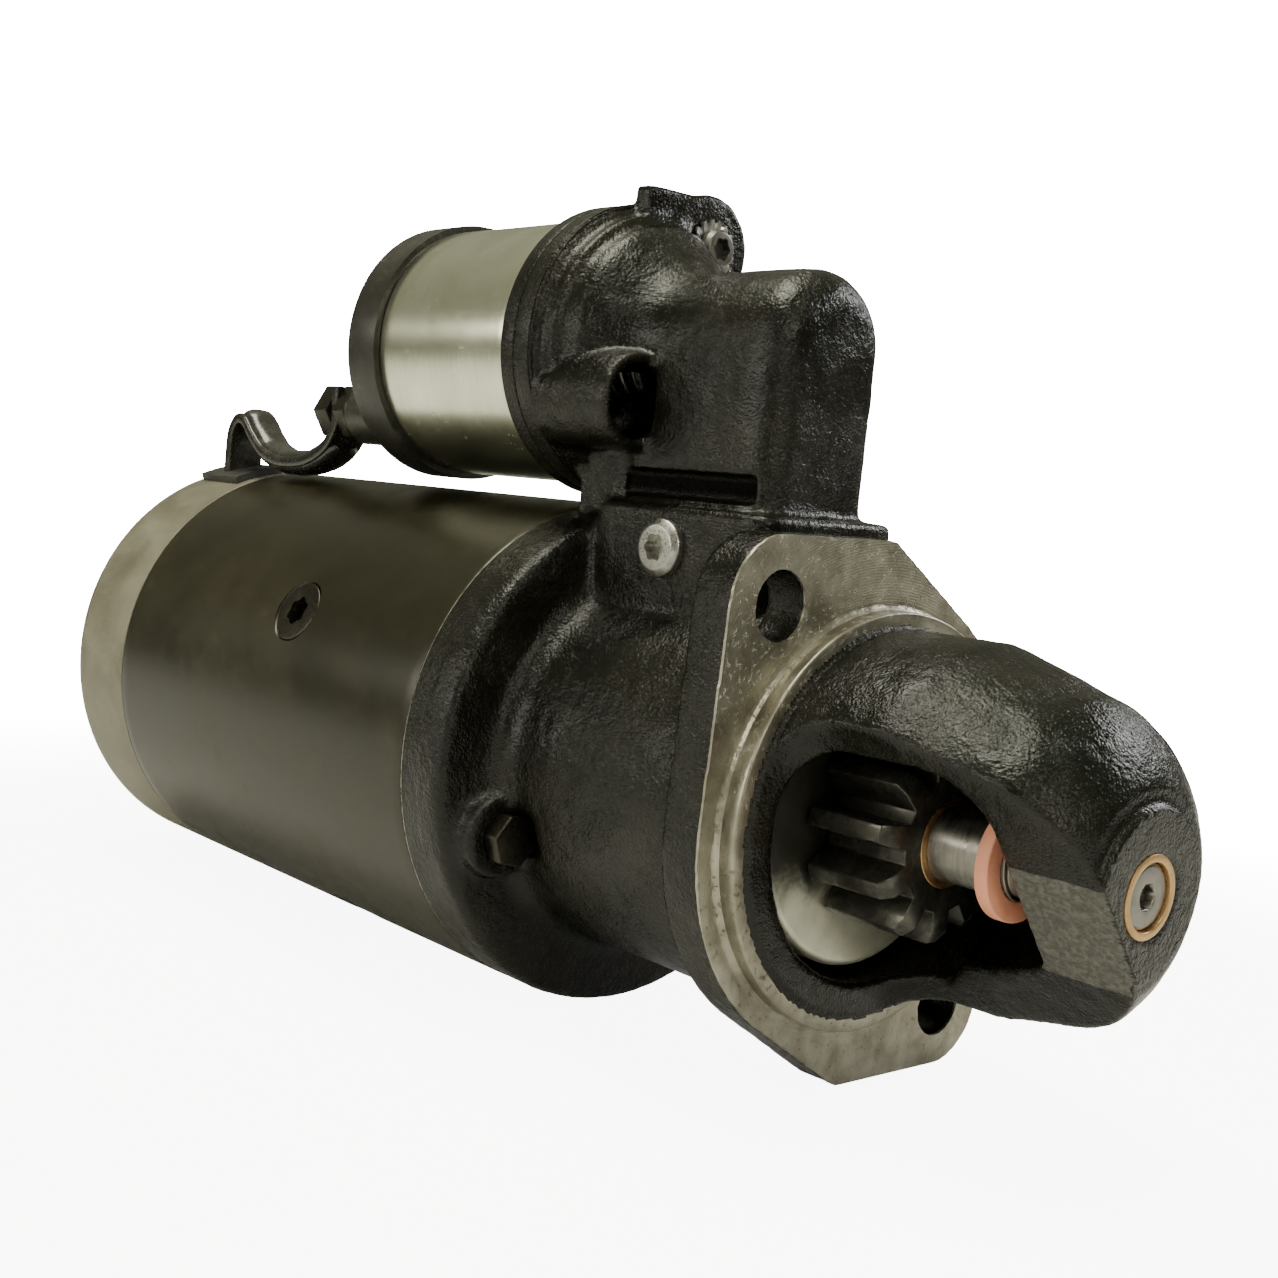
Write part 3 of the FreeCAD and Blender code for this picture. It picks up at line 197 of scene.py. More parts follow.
def metal(name, colour, rough, streak=(1, 1, 1), grain=0.6, relief=0.02,
          stain=(0.05, 0.045, 0.035), stain_amount=0.35):
    """Machined or plated metal: streaks of tone, fine relief and patches of stain."""
    look = Look(name)
    streaks = look.noise(grain, 4.0, 0.65, look.stretched(*streak))
    clouds = look.noise(9.0, 4.0, 0.6, distortion=0.6)
    dark = tuple(c * 0.75 for c in colour)
    base = look.mix(look.remap(streaks, 0.3, 0.7), dark, colour)
    patch = look.remap(clouds, 0.52, 0.75, 0.0, stain_amount)
    look.give("Base Color", look.mix(patch, base, stain))
    look.give("Roughness", look.math("ADD", look.remap(streaks, 0.25, 0.75, rough * 0.75, rough * 1.3),
                                     look.math("MULTIPLY", patch, 0.35)))
    look.give("Metallic", look.blend(patch, 1.0, 0.7))
    look.bump((streaks, relief, 0.5), (look.noise(grain * 6, 3.0), relief, 0.3))
    return look.material


def coated(name, colour, rough, size, relief, strength=0.35, tint=0.3, metallic=0.0, coat=0.0, dust=0.25):
    """Paint, plastic or rubber: slight mottling, relief and a little dust."""
    look = Look(name)
    fine = look.noise(size, 4.0, 0.6)
    broad = look.noise(size * 12, 3.0, 0.55)
    dark = tuple(c * (1 - tint) for c in colour)
    base = look.mix(look.remap(broad, 0.35, 0.65), dark, colour)
    settled = look.math("MULTIPLY", look.remap(broad, 0.45, 0.72), look.remap(fine, 0.45, 0.7))
    look.give("Base Color", look.mix(look.math("MULTIPLY", settled, dust), base, DUST))
    look.give("Roughness", look.remap(look.math("ADD", fine, look.math("MULTIPLY", broad, 0.6)),
                                      0.5, 1.1, rough * 0.8, rough * 1.25))
    look.give("Metallic", metallic)
    look.give("Coat Weight", coat)
    look.give("Coat Roughness", 0.12)
    look.bump((broad, relief * 3, strength * 0.4), (fine, relief, strength))
    return look.material


def casting_look():
    """Gloss black over rough cast iron, bare where it was machined after casting, with painted shade in the
    waist groove and two screw pockets.
    """
    look = Look("gloss_black_casting")
    grit = look.noise(1.1, 4.0, 0.6)
    lumps = look.noise(3.0, 3.0, 0.55, distortion=0.3)
    broad = look.noise(18.0, 3.0, 0.5)
    rough_zone = look.remap(look.noise(11.0, 2.0, 0.5), 0.4, 0.62)
    lumps_small = look.noise(0.55, 2.0, 0.5)
    bare_and_edge_highlight = look.remap(look.frayed(look.attribute("bare_and_edge_highlight"), lumps, 0.25), 0.44, 0.56)
    worn = look.remap(look.frayed(look.attribute("worn"), lumps, 0.6), 0.35, 0.75)
    paint = look.mix(look.remap(broad, 0.35, 0.7), (0.0028, 0.0030, 0.0020), (0.0065, 0.0065, 0.0040))
    dusty = look.math("MULTIPLY", look.remap(lumps_small, 0.52, 0.7),
                      look.remap(broad, 0.45, 0.66, 0.0, 0.35))
    paint = look.mix(dusty, paint, (0.04, 0.038, 0.024))
    thin = look.mix(look.remap(grit, 0.35, 0.7), (0.055, 0.055, 0.046), (0.125, 0.122, 0.105))
    paint = look.mix(worn, paint, thin)
    marks = look.waves(0.55, 0.8, "RINGS").outputs["Fac"]
    pit = look.remap(look.noise(1.3, 5.0, 0.75), 0.56, 0.66)
    cloud = look.noise(8.0, 4.0, 0.55, distortion=0.3)
    iron = look.mix(look.remap(cloud, 0.3, 0.7), (0.225, 0.21, 0.165), (0.41, 0.39, 0.325))
    iron = look.mix(look.remap(marks, 0.2, 0.8, 0.0, 0.12), iron, (0.18, 0.17, 0.135))
    rusted = look.math("MULTIPLY", pit, look.remap(cloud, 0.35, 0.65, 0.55, 0.12))
    iron = look.mix(rusted, iron, (0.06, 0.055, 0.042))
    # painted shade: hollows painted near-black with almost no specular
    hollow_shade = look.attribute("hollow_shade")
    look.give("Base Color", look.mix(hollow_shade, look.mix(bare_and_edge_highlight, paint, iron), (0.0012, 0.0012, 0.001)))
    look.give("Metallic", look.blend(bare_and_edge_highlight, 0.0, 0.88))
    gloss = look.remap(look.math("ADD", grit, broad), 0.75, 1.25, 0.10, 0.23)
    gloss = look.blend(worn, gloss, 0.5)
    look.give("Roughness", look.blend(bare_and_edge_highlight, gloss, look.remap(pit, 0.0, 1.0, 0.34, 0.6)))
    look.give("Specular IOR Level", look.blend(hollow_shade, 0.29, 0.02))
    relief = look.blend(bare_and_edge_highlight, look.blend(rough_zone, 0.35, 0.95), 0.1)
    look.bump((lumps, 0.5, relief), (grit, 0.3, relief), (lumps_small, 0.19, look.blend(bare_and_edge_highlight, 0.65, 0.1)),
              (marks, 0.02, look.blend(bare_and_edge_highlight, 0.0, 0.6)), (pit, -0.12, look.blend(bare_and_edge_highlight, 0.0, 0.8)))
    return look.material


def yoke_look():
    """Satin black on drawn tube: faint rolling marks along the tube, dust, a few rubbed spots, and a painted
    highlight band of light metal at the front edge.
    """
    look = Look("satin_black_tube")
    drawn = look.noise(1.4, 4.0, 0.6, look.stretched(0.12, 1.0, 1.0))
    orange_peel = look.noise(1.6, 3.0, 0.5)
    broad = look.noise(34.0, 4.0, 0.55, distortion=0.5)
    base = look.mix(look.remap(broad, 0.32, 0.7), (0.0085, 0.0075, 0.0026), (0.0180, 0.0155, 0.0062))
    scuff = look.math("MULTIPLY", look.remap(look.noise(5.0, 3.0, 0.5), 0.5, 0.8),
                      look.remap(broad, 0.4, 0.65, 0.05, 0.3))
    base = look.mix(scuff, base, (0.045, 0.041, 0.025))
    bare_and_edge_highlight = look.remap(look.frayed(look.attribute("bare_and_edge_highlight"), drawn, 0.7), 0.4, 0.6)
    # painted highlight: light metal colour along the tube's front edge
    look.give("Base Color", look.mix(bare_and_edge_highlight, base, (0.42, 0.4, 0.34)))
    look.give("Metallic", look.blend(bare_and_edge_highlight, 0.0, 0.85))
    satin = look.remap(look.math("ADD", broad, scuff), 0.35, 0.85, 0.3, 0.42)
    look.give("Roughness", look.blend(bare_and_edge_highlight, satin, 0.33))
    look.give("Specular IOR Level", 0.36)
    look.bump((broad, 0.3, 0.08), (drawn, 0.02, 0.3), (orange_peel, 0.03, 0.35))
    return look.material


def zinc_look():
    """Bright zinc with a faint yellow-green passivation and fine turning marks round the can."""
    look = Look("passivated_zinc")
    around = look.noise(0.3, 3.0, 0.6, look.stretched(1.0, 0.02, 0.02))
    cloud = look.noise(15.0, 3.0, 0.5, distortion=0.5)
    scuff = look.noise(2.5, 5.0, 0.7, look.stretched(0.35, 1.0, 1.0))
    base = look.mix(look.remap(cloud, 0.3, 0.7), (0.66, 0.68, 0.54), (0.80, 0.815, 0.67))
    base = look.mix(look.remap(around, 0.35, 0.7, 0.0, 0.25), base, (0.50, 0.50, 0.40))
    base = look.mix(look.remap(scuff, 0.6, 0.8, 0.0, 0.12), base, (0.36, 0.355, 0.27))
    look.give("Base Color", base)
    look.give("Metallic", 1.0)
    look.give("Roughness", look.math("ADD", look.remap(around, 0.3, 0.7, 0.2, 0.27),
                                     look.remap(scuff, 0.58, 0.8, 0.0, 0.06)))
    look.bump((cloud, 0.03, 0.1), (around, 0.005, 0.5), (scuff, 0.006, 0.15))
    return look.material


def cover_look():
    """Bare die casting gone dull: warm grey, fine pores and darker smears."""
    look = Look("dull_cast_cover")
    pores = look.noise(0.8, 5.0, 0.7)
    patches = look.noise(17.0, 5.0, 0.6, distortion=0.7)
    base = look.mix(look.remap(patches, 0.3, 0.72), (0.135, 0.127, 0.09), (0.215, 0.206, 0.155))
    base = look.mix(look.remap(pores, 0.58, 0.8, 0.0, 0.55), base, (0.08, 0.073, 0.05))
    smear = look.remap(look.noise(7.0, 5.0, 0.65, look.stretched(0.25, 1.0, 1.0)), 0.54, 0.78, 0.0, 0.5)
    base = look.mix(smear, base, (0.26, 0.25, 0.195))
    look.give("Base Color", base)
    look.give("Metallic", 0.35)
    look.give("Roughness", look.remap(patches, 0.3, 0.7, 0.44, 0.62))
    look.bump((patches, 0.4, 0.15), (pores, 0.09, 0.5))
    return look.material


def gear_look():
    """Hardened teeth under a film of dark grease."""
    look = Look("greased_gear")
    film_and_shade_grain = look.noise(5.0, 4.0, 0.6, distortion=0.5)
    cut = look.noise(0.4, 3.0, 0.6, look.stretched(0.12, 1.0, 1.0))
    base = look.mix(look.remap(film_and_shade_grain, 0.4, 0.62), (0.085, 0.082, 0.07), (0.016, 0.016, 0.012))
    look.give("Base Color", base)
    look.give("Metallic", look.remap(film_and_shade_grain, 0.4, 0.62, 0.95, 0.5))
    look.give("Roughness", look.remap(film_and_shade_grain, 0.35, 0.65, 0.3, 0.42))
    look.give("Coat Weight", 0.3)
    look.give("Coat Roughness", 0.15)
    look.bump((film_and_shade_grain, 0.15, 0.4), (cut, 0.03, 0.5))
    return look.material


def drum_look():
    """Cream zinc drum, painted near-black over its upper half as painted shade, with a stronger bump there.
    """
    look = Look("drum_painted_shade")
    around = look.noise(0.5, 4.0, 0.6, look.stretched(1.0, 0.05, 0.05))
    film_and_shade_grain = look.noise(7.0, 4.0, 0.6, distortion=0.4)
    split = look.tree.nodes.new("ShaderNodeSeparateXYZ")
    look.link(look.coord, split.inputs[0])
    height = look.math("MULTIPLY", split.outputs["Z"], 1 / (34 * MM))
    # painted shade: the drum is darkened towards the top, its border frayed by a noise
    upper_shade = look.remap(look.frayed(height, film_and_shade_grain, 0.35), -0.52, -0.22)
    base = look.mix(look.remap(around, 0.3, 0.7), (0.60, 0.59, 0.48), (0.76, 0.75, 0.63))
    # near-black colour of the painted shade over the upper half
    look.give("Base Color", look.mix(upper_shade, base, (0.016, 0.016, 0.012)))
    look.give("Metallic", look.blend(upper_shade, 0.75, 0.1))
    look.give("Roughness", look.blend(upper_shade, 0.42, 0.34))
    look.bump((around, 0.02, 0.5), (film_and_shade_grain, 0.1, look.blend(upper_shade, 0.1, 0.6)))
    return look.material


def wound_look():
    """Varnished turns of copper wire laid side by side."""
    look = Look("varnished_copper")
    colour = (0.62, 0.28, 0.11)
    wave = look.waves(1.6, 0.6)
    wave.inputs["Detail"].default_value = 1.0
    turns = wave.outputs["Fac"]
    varnish = look.noise(4.0, 4.0, 0.6)
    base = look.mix(look.remap(turns, 0.2, 0.8), tuple(c * 0.35 for c in colour), colour)
    look.give("Base Color", look.mix(look.remap(varnish, 0.45, 0.75, 0.0, 0.6), base, (0.10, 0.045, 0.015)))
    look.give("Metallic", look.remap(varnish, 0.4, 0.7, 0.85, 0.3))
    look.give("Roughness", look.remap(varnish, 0.3, 0.7, 0.28, 0.45))
    look.bump((turns, 0.35, 0.8), (varnish, 0.1, 0.3))
    return look.material


def lamination_look():
    """Thin steel sheets stacked along the shaft."""
    look = Look("stacked_sheets")
    sheets = look.waves(0.9, 0.2).outputs["Fac"]
    burnt = look.noise(8.0, 4.0, 0.6)
    base = look.mix(look.remap(sheets, 0.2, 0.8), (0.07, 0.068, 0.062), (0.26, 0.255, 0.24))
    look.give("Base Color", look.mix(look.remap(burnt, 0.45, 0.7, 0.0, 0.6), base, (0.09, 0.07, 0.055)))
    look.give("Metallic", 0.85)
    look.give("Roughness", look.remap(burnt, 0.3, 0.7, 0.3, 0.5))
    look.bump((sheets, 0.12, 0.7))
    return look.material


looks = {
    "housing_paint": casting_look(),
    "yoke_paint": yoke_look(),
    "cover_grey": cover_look(),
    "plain_steel": metal("plain_steel", (0.43, 0.42, 0.395), 0.36, (0.15, 1, 1), relief=0.03),
    "pivot_steel": metal("pivot_steel", (0.46, 0.455, 0.43), 0.3, relief=0.02, stain_amount=0.5),
    "screw_steel": metal("screw_steel", (0.2, 0.195, 0.175), 0.36, relief=0.03),
    "journal_steel": metal("journal_steel", (0.27, 0.26, 0.235), 0.33, (1, 0.1, 0.1), relief=0.03),
    "dark_steel": metal("dark_steel", (0.056, 0.052, 0.042), 0.34, grain=0.7, relief=0.04,
                        stain=(0.11, 0.09, 0.06), stain_amount=0.3),
    "bright_steel": metal("bright_steel", (0.66, 0.655, 0.63), 0.24, (1, 0.1, 0.1), relief=0.015,
                          stain_amount=0.2),
    "gear_steel": gear_look(),
    "spring_steel": metal("spring_steel", (0.2, 0.195, 0.19), 0.3, grain=0.5, relief=0.02),
    "zinc_steel": zinc_look(),
    "drum_zinc": drum_look(),
    "lamination": lamination_look(),
    "bronze": metal("bronze", (0.66, 0.42, 0.2), 0.36, grain=0.5, relief=0.03, stain=(0.2, 0.12, 0.06)),
    "brass": metal("brass", (0.72, 0.56, 0.27), 0.28, (1, 0.1, 0.1), relief=0.015, stain=(0.25, 0.18, 0.08)),
    "copper": metal("copper", (0.72, 0.36, 0.22), 0.3, (1, 0.1, 0.1), relief=0.02, stain=(0.28, 0.13, 0.08)),
    "copper_insulated": wound_look(),
    "carbon": coated("carbon_copper", (0.07, 0.05, 0.042), 0.5, 0.6, 0.05, 0.5, metallic=0.4),
    "bobbin_plastic": coated("bobbin_plastic", (0.42, 0.36, 0.24), 0.45, 1.0, 0.05),
    "cap_plastic": coated("cap_moulding", (0.0125, 0.0125, 0.0088), 0.36, 1.1, 0.08, 0.5, dust=0.4),
    "strap_black": coated("dipped_strap", (0.012, 0.012, 0.009), 0.27, 1.8, 0.16, 0.55, coat=0.35, dust=0.3),
    "rubber": coated("rubber", (0.02, 0.02, 0.016), 0.55, 0.9, 0.08, 0.5, dust=0.5),
    "red_fibre": coated("red_fibre", (0.80, 0.33, 0.21), 0.5, 0.7, 0.04, tint=0.12, dust=0.05),
}


# ------------------------------------------------------------------ shape helpers

def add_mesh(name, mesh, node, look):
    """Put a mesh in the scene as the piece that stands for a CAD node and rides on its body."""
    piece = bpy.data.objects.new(name, mesh)
    bpy.context.scene.collection.objects.link(piece)
    mesh.materials.clear()
    mesh.materials.append(look)
    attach(piece, body_of[node])
    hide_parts(node)
    return piece


def smooth(mesh, angle):
    """Smooth shading, with edges sharper than angle degrees left crisp."""
    mesh.polygons.foreach_set("use_smooth", [True] * len(mesh.polygons))
    mesh.set_sharp_from_angle(angle=math.radians(angle))


def from_bmesh(bm, name):
    mesh = bpy.data.meshes.new(name)
    bm.to_mesh(mesh)
    bm.free()
    return mesh


def applied(mesh, setup):
    """The mesh after the modifiers that setup adds to a temporary object."""
    holder = bpy.data.objects.new("holder", mesh)
    bpy.context.scene.collection.objects.link(holder)
    setup(holder)
    bpy.context.view_layer.update()
    graph = bpy.context.evaluated_depsgraph_get()
    made = bpy.data.meshes.new_from_object(holder.evaluated_get(graph), depsgraph=graph)
    bpy.data.objects.remove(holder)
    return made


def cad_copy(node, angle=1.0):
    """A welded copy of a CAD node's mesh with flat faces joined up."""
    bm = bmesh.new()
    bm.from_mesh(nodes[node].data)
    bmesh.ops.remove_doubles(bm, verts=bm.verts, dist=WELD)
    if angle:
        bmesh.ops.dissolve_limit(bm, angle_limit=math.radians(angle), verts=bm.verts, edges=bm.edges)
    return from_bmesh(bm, node + "_copy")


def bevelled(mesh, width_mm, segments=3):
    """The mesh with every edge sharper than 38 degrees rounded off."""
    def setup(holder):
        bevel = holder.modifiers.new("edge", "BEVEL")
        bevel.width = width_mm * MM
        bevel.segments = segments
        bevel.limit_method = "ANGLE"
        bevel.angle_limit = math.radians(38)
        bevel.use_clamp_overlap = True
    made = applied(mesh, setup)
    smooth(made, 40)
    return made


def refined(node, width_mm, look=None, segments=3):
    """A CAD node shown with every sharp edge broken by width_mm."""
    mesh = bevelled(cad_copy(node), width_mm, segments)
    return add_mesh(node + "_finished", mesh, node, look or looks[slot_of[node]])


def filleted(points, radius, steps=4):
    """A closed outline with each corner rounded; a point may carry its own radius."""
    out = []
    count = len(points)
    for i in range(count):
        here = Vector(points[i][:2])
        r = points[i][2] if len(points[i]) > 2 else radius
        before = Vector(points[i - 1][:2]) - here
        after = Vector(points[(i + 1) % count][:2]) - here
        turn = before.angle(after, math.pi)
        if r <= 0 or turn > math.radians(175):
            out.append(tuple(here))
            continue
        reach = min(r / math.tan(turn / 2), before.length * 0.48, after.length * 0.48)
        r = reach * math.tan(turn / 2)
        start, end = here + before.normalized() * reach, here + after.normalized() * reach
        centre = here + (before.normalized() + after.normalized()).normalized() * (r / math.sin(turn / 2))
        a0 = math.atan2(start.y - centre.y, start.x - centre.x)
        a1 = math.atan2(end.y - centre.y, end.x - centre.x)
        sweep = (a1 - a0 + math.pi) % (2 * math.pi) - math.pi
        for k in range(steps + 1):
            a = a0 + sweep * k / steps
            out.append((centre.x + r * math.cos(a), centre.y + r * math.sin(a)))
    return out


def divided(points, longest):
    """Long sides of a closed outline cut into lengths of at most longest."""
    out = []
    for i, p in enumerate(points):
        q = points[(i + 1) % len(points)]
        n = max(1, math.ceil(math.dist(p, q) / longest))
        out += [(p[0] + (q[0] - p[0]) * k / n, p[1] + (q[1] - p[1]) * k / n) for k in range(n)]
    return out


def lathe_mesh(outline, y=0.0, z=0.0, segments=192):
    """Revolve a closed (x, radius) outline, in mm, about the X axis through (y, z)."""
    bm = bmesh.new()
    rings = []
    for x, r in outline:
        if r < 1e-4:
            rings.append([bm.verts.new((x * MM, y * MM, z * MM))])
            continue
        rings.append([bm.verts.new((x * MM, (y + r * math.cos(t)) * MM, (z + r * math.sin(t)) * MM))
                      for t in (2 * math.pi * k / segments for k in range(segments))])
    for i, a in enumerate(rings):
        b = rings[(i + 1) % len(rings)]
        if len(a) == 1 and len(b) == 1:
            continue
        for k in range(segments):
            n = (k + 1) % segments
            corners = [a[k % len(a)], b[k % len(b)], b[n % len(b)], a[n % len(a)]]
            unique = list(dict.fromkeys(corners))
            if len(unique) > 2:
                bm.faces.new(unique)
    bmesh.ops.recalc_face_normals(bm, faces=bm.faces)
    return from_bmesh(bm, "turned")


def joined(meshes):
    """One mesh out of several, shading and attributes kept."""
    bm = bmesh.new()
    for mesh in meshes:
        bm.from_mesh(mesh)
    return from_bmesh(bm, "joined")


def moved(mesh, matrix):
    """A copy of the mesh, put elsewhere."""
    copy = mesh.copy()
    copy.transform(matrix)
    return copy


def cut_by(mesh, tool):
    """The mesh with the tool's volume taken out of it."""
    cutter = bpy.data.objects.new("cutter", tool)
    bpy.context.scene.collection.objects.link(cutter)

    def setup(holder):
        b = holder.modifiers.new("cut", "BOOLEAN")
        b.object = cutter
        b.operation = "DIFFERENCE"
        b.solver = "EXACT"
    made = applied(mesh, setup)
    bpy.data.objects.remove(cutter)
    return made


def prism(outline, x0, x1):
    """A prism along X from a closed (y, z) outline, in mm."""
    bm = bmesh.new()
    rear = [bm.verts.new((x0 * MM, u * MM, v * MM)) for u, v in outline]
    front = [bm.verts.new((x1 * MM, u * MM, v * MM)) for u, v in outline]
    bm.faces.new(rear)
    bm.faces.new(front[::-1])
    for i in range(len(outline)):
        n = (i + 1) % len(outline)
        bm.faces.new((rear[i], front[i], front[n], rear[n]))
    bmesh.ops.recalc_face_normals(bm, faces=bm.faces)
    return from_bmesh(bm, "prism")


def star(r, depth=0.17, steps=10):
    """The six-lobed outline of a star drive, outer radius r."""
    return [(r * (1 - depth / 2 + depth / 2 * math.cos(6 * t)) * math.cos(t),
             r * (1 - depth / 2 + depth / 2 * math.cos(6 * t)) * math.sin(t))
            for t in (2 * math.pi * k / (6 * steps) for k in range(6 * steps))]


def star_head(outline, recess_r, floor, top, segments=64):
    """A turned screw with a star recess sunk from x = top down to x = floor."""
    blank = lathe_mesh(outline, segments=segments)
    made = cut_by(blank, prism(star(recess_r), floor, top + 2))
    smooth(made, 34)
    return made


def thread_mesh(x0, x1, r, pitch, segments=40):
    """A length of screw thread along X with chamfered ends, solid to the axis."""
    steps = max(8, int(abs(x1 - x0) / pitch * 8))
    depth = 0.3 * pitch
    bm = bmesh.new()
    rings = []
    for j in range(steps + 1):
        x = x0 + (x1 - x0) * j / steps
        end = min(abs(x - x0), abs(x - x1))
        limit = r - max(0.0, 0.9 - end)
        row = []
        for k in range(segments):
            phase = (x / pitch - k / segments) % 1.0
            radius = min(limit, r - depth * (1 - abs(2 * phase - 1)) * 2)
            t = 2 * math.pi * k / segments
            row.append(bm.verts.new((x * MM, radius * math.cos(t) * MM, radius * math.sin(t) * MM)))
        rings.append(row)
    for a, b in zip(rings, rings[1:]):
        for k in range(segments):
            n = (k + 1) % segments
            bm.faces.new((a[k], b[k], b[n], a[n]))
    bm.faces.new(rings[0])
    bm.faces.new(rings[-1][::-1])
    bmesh.ops.recalc_face_normals(bm, faces=bm.faces)
    mesh = from_bmesh(bm, "thread")
    smooth(mesh, 50)
    return mesh


def about_x(degrees):
    return Matrix.Rotation(math.radians(degrees), 4, "X")


def shift(x=0.0, y=0.0, z=0.0):
    return Matrix.Translation((x * MM, y * MM, z * MM))


def coords(mesh):
    """Vertex places as an array, in metres."""
    out = np.empty(len(mesh.vertices) * 3, np.float64)
    mesh.vertices.foreach_get("co", out)
    return out.reshape(-1, 3)


def put_coords(mesh, points):
    mesh.vertices.foreach_set("co", points.astype(np.float32).ravel())
    mesh.update()


# ------------------------------------------------------------------ the casting

GRID = 0.65  # size of the faces that the casting is made of
ROUNDS = 9  # rounds of smoothing after the first three
SEAM_X = -77.4  # rear face, which meets the motor tube
SEAM_R, RIM_R = 56.0, 55.9  # the rim in the CAD, and drawn in a little so that the seam shows
RING_TOP, RING_R = 4.2, 41.25  # front face and outer radius of the pilot ring
RING_SUNK = 0.4  # how far the cast surface is drawn in under the turned pilot ring
NOSE_X, NOSE_BUSH_R = 60.2, 7.5
SEAT_FLAT_R, SEAT_POCKET_R = 6.9, 7.9  # under each solenoid screw; the pocket radius bounds the painted shade in the screw pockets
WINDOW = (-0.777, -0.629)  # y and z of the direction in which the nose is open
WINDOW_CUT = 8.9  # distance of the window's cut face from the shaft
LUMPS = ((3.4, 0.11), (8.0, 0.13), (1.9, 0.06))  # size and height of the unevenness left by the sand


def seat_places():
    """Centre (y, z) and seat x of each solenoid screw, taken from its washer."""
    groups = []
    for p in coords(nodes["screw_washers"].data) / MM:
        for group in groups:
            if math.dist(group[0][1:], p[1:]) < 14:
                group.append(p)
                break
        else:
            groups.append([p])
    places = []
    for group in groups:
        low, high = np.min(group, axis=0), np.max(group, axis=0)
        places.append(((low[1] + high[1]) / 2, (low[2] + high[2]) / 2, low[0]))
    return places


def set_layer(mesh, name, values):
    """Store one number for each vertex, for a look to read."""
    layer = mesh.attributes.new(name, "FLOAT", "POINT")
    layer.data.foreach_set("value", values.astype(np.float32))


def relax(points, edges, weight, rounds):
    """Pull each point towards the middle of its neighbours, by its own weight."""
    a, b = edges[:, 0], edges[:, 1]
    count = np.bincount(np.concatenate([a, b]), minlength=len(points))[:, None]
    for _ in range(rounds):
        total = np.stack([np.bincount(a, points[b, k], len(points))
                          + np.bincount(b, points[a, k], len(points)) for k in range(3)], axis=1)
        points = points + weight[:, None] * (total / count - points)
    return points


def casting_grid():
    """The CAD housing remade as an even grid of small faces, and the grid's edges."""
    def setup(holder):
        remesh = holder.modifiers.new("grid", "REMESH")
        remesh.mode = "VOXEL"
        remesh.voxel_size = GRID * MM
        remesh.adaptivity = 0.0
    mesh = applied(cad_copy("drive_housing", angle=0), setup)
    edges = np.empty(len(mesh.edges) * 2, np.int64)
    mesh.edges.foreach_get("vertices", edges)
    return mesh, edges.reshape(-1, 2)


def softened(points, edges):
    """Round every cast edge, but hold what is machined, the bores and the waist, whose mask is given too."""
    x, y, z = points.T
    r = np.hypot(y, z)
    machined = ((x > -2.2) & (x < 6.0) & (r > 37.0)) | (x < -72.5) | (x > 57.5)
    bores = (r < 8.5) & (x > 40)
    waist = (np.abs(y) > 12.0) & (x > -62.0) & (x < -23.0) & (z > 57.0) & (z < 66.0)
    points = relax(points, edges, np.full(len(points), 0.5), 3)
    held = machined | bores | waist
    return relax(points, edges, np.where(held, 0.0, 0.6), ROUNDS), waist


def trued(points, r):
    """Put machined faces back on their planes and cylinders, in place; gives the mask of what they hold."""
    x, y, z = points.T
    face = (np.abs(x) < 0.55) & (r > 41.9)
    points[face, 0] = 0.0
    top = (np.abs(x - RING_TOP) < 0.5) & (r > 38.9) & (r < 40.8)
    points[top, 0] = RING_TOP
    ring = (np.abs(r - RING_R) < 0.6) & (x > 0.5) & (x < 3.9)
    rim = (np.abs(r - SEAM_R) < 0.6) & (x < -71.8)
    points[rim, 1:] *= RIM_R / r[rim, None]
    seam = x < -76.8
    points[seam, 0] = SEAM_X
    nose = (x > 59.4) & (r < 15.2) & (r > 8.3)
    points[nose, 0] = NOSE_X
    spot = np.zeros(len(points), bool)
    for seat_y, seat_z, seat in seat_places():
        flat = (np.hypot(y - seat_y, z - seat_z) < SEAT_FLAT_R) & (np.abs(x - seat) < 1.2)
        points[flat, 0] = seat
        spot |= flat
    under_ring = (x > 0.8) & (x < 5.5) & (r > 38.0)
    points[under_ring, 1:] *= 1 - RING_SUNK / r[under_ring, None]
    bush = (np.abs(r - NOSE_BUSH_R) < 0.5) & (x > 41)
    points[bush, 1:] *= NOSE_BUSH_R / r[bush, None]
    disc = (x > 58.0) & (r < 16.5)
    return face | top | ring | rim | seam | disc | bush | spot | under_ring


def sand_lumps(points, r, held):
    """Height of the cast surface's unevenness at each point, fading out beside the pilot ring."""
    x = points[:, 0]
    lumps = np.array([sum(noise.noise(Vector(p) / size) * height for size, height in LUMPS) for p in points])
    beside_ring = np.where((x > 0) & (r > 36.5), np.clip((x - 5.0) / 6.0, 0, 1), 1.0)
    return lumps * ~held * beside_ring


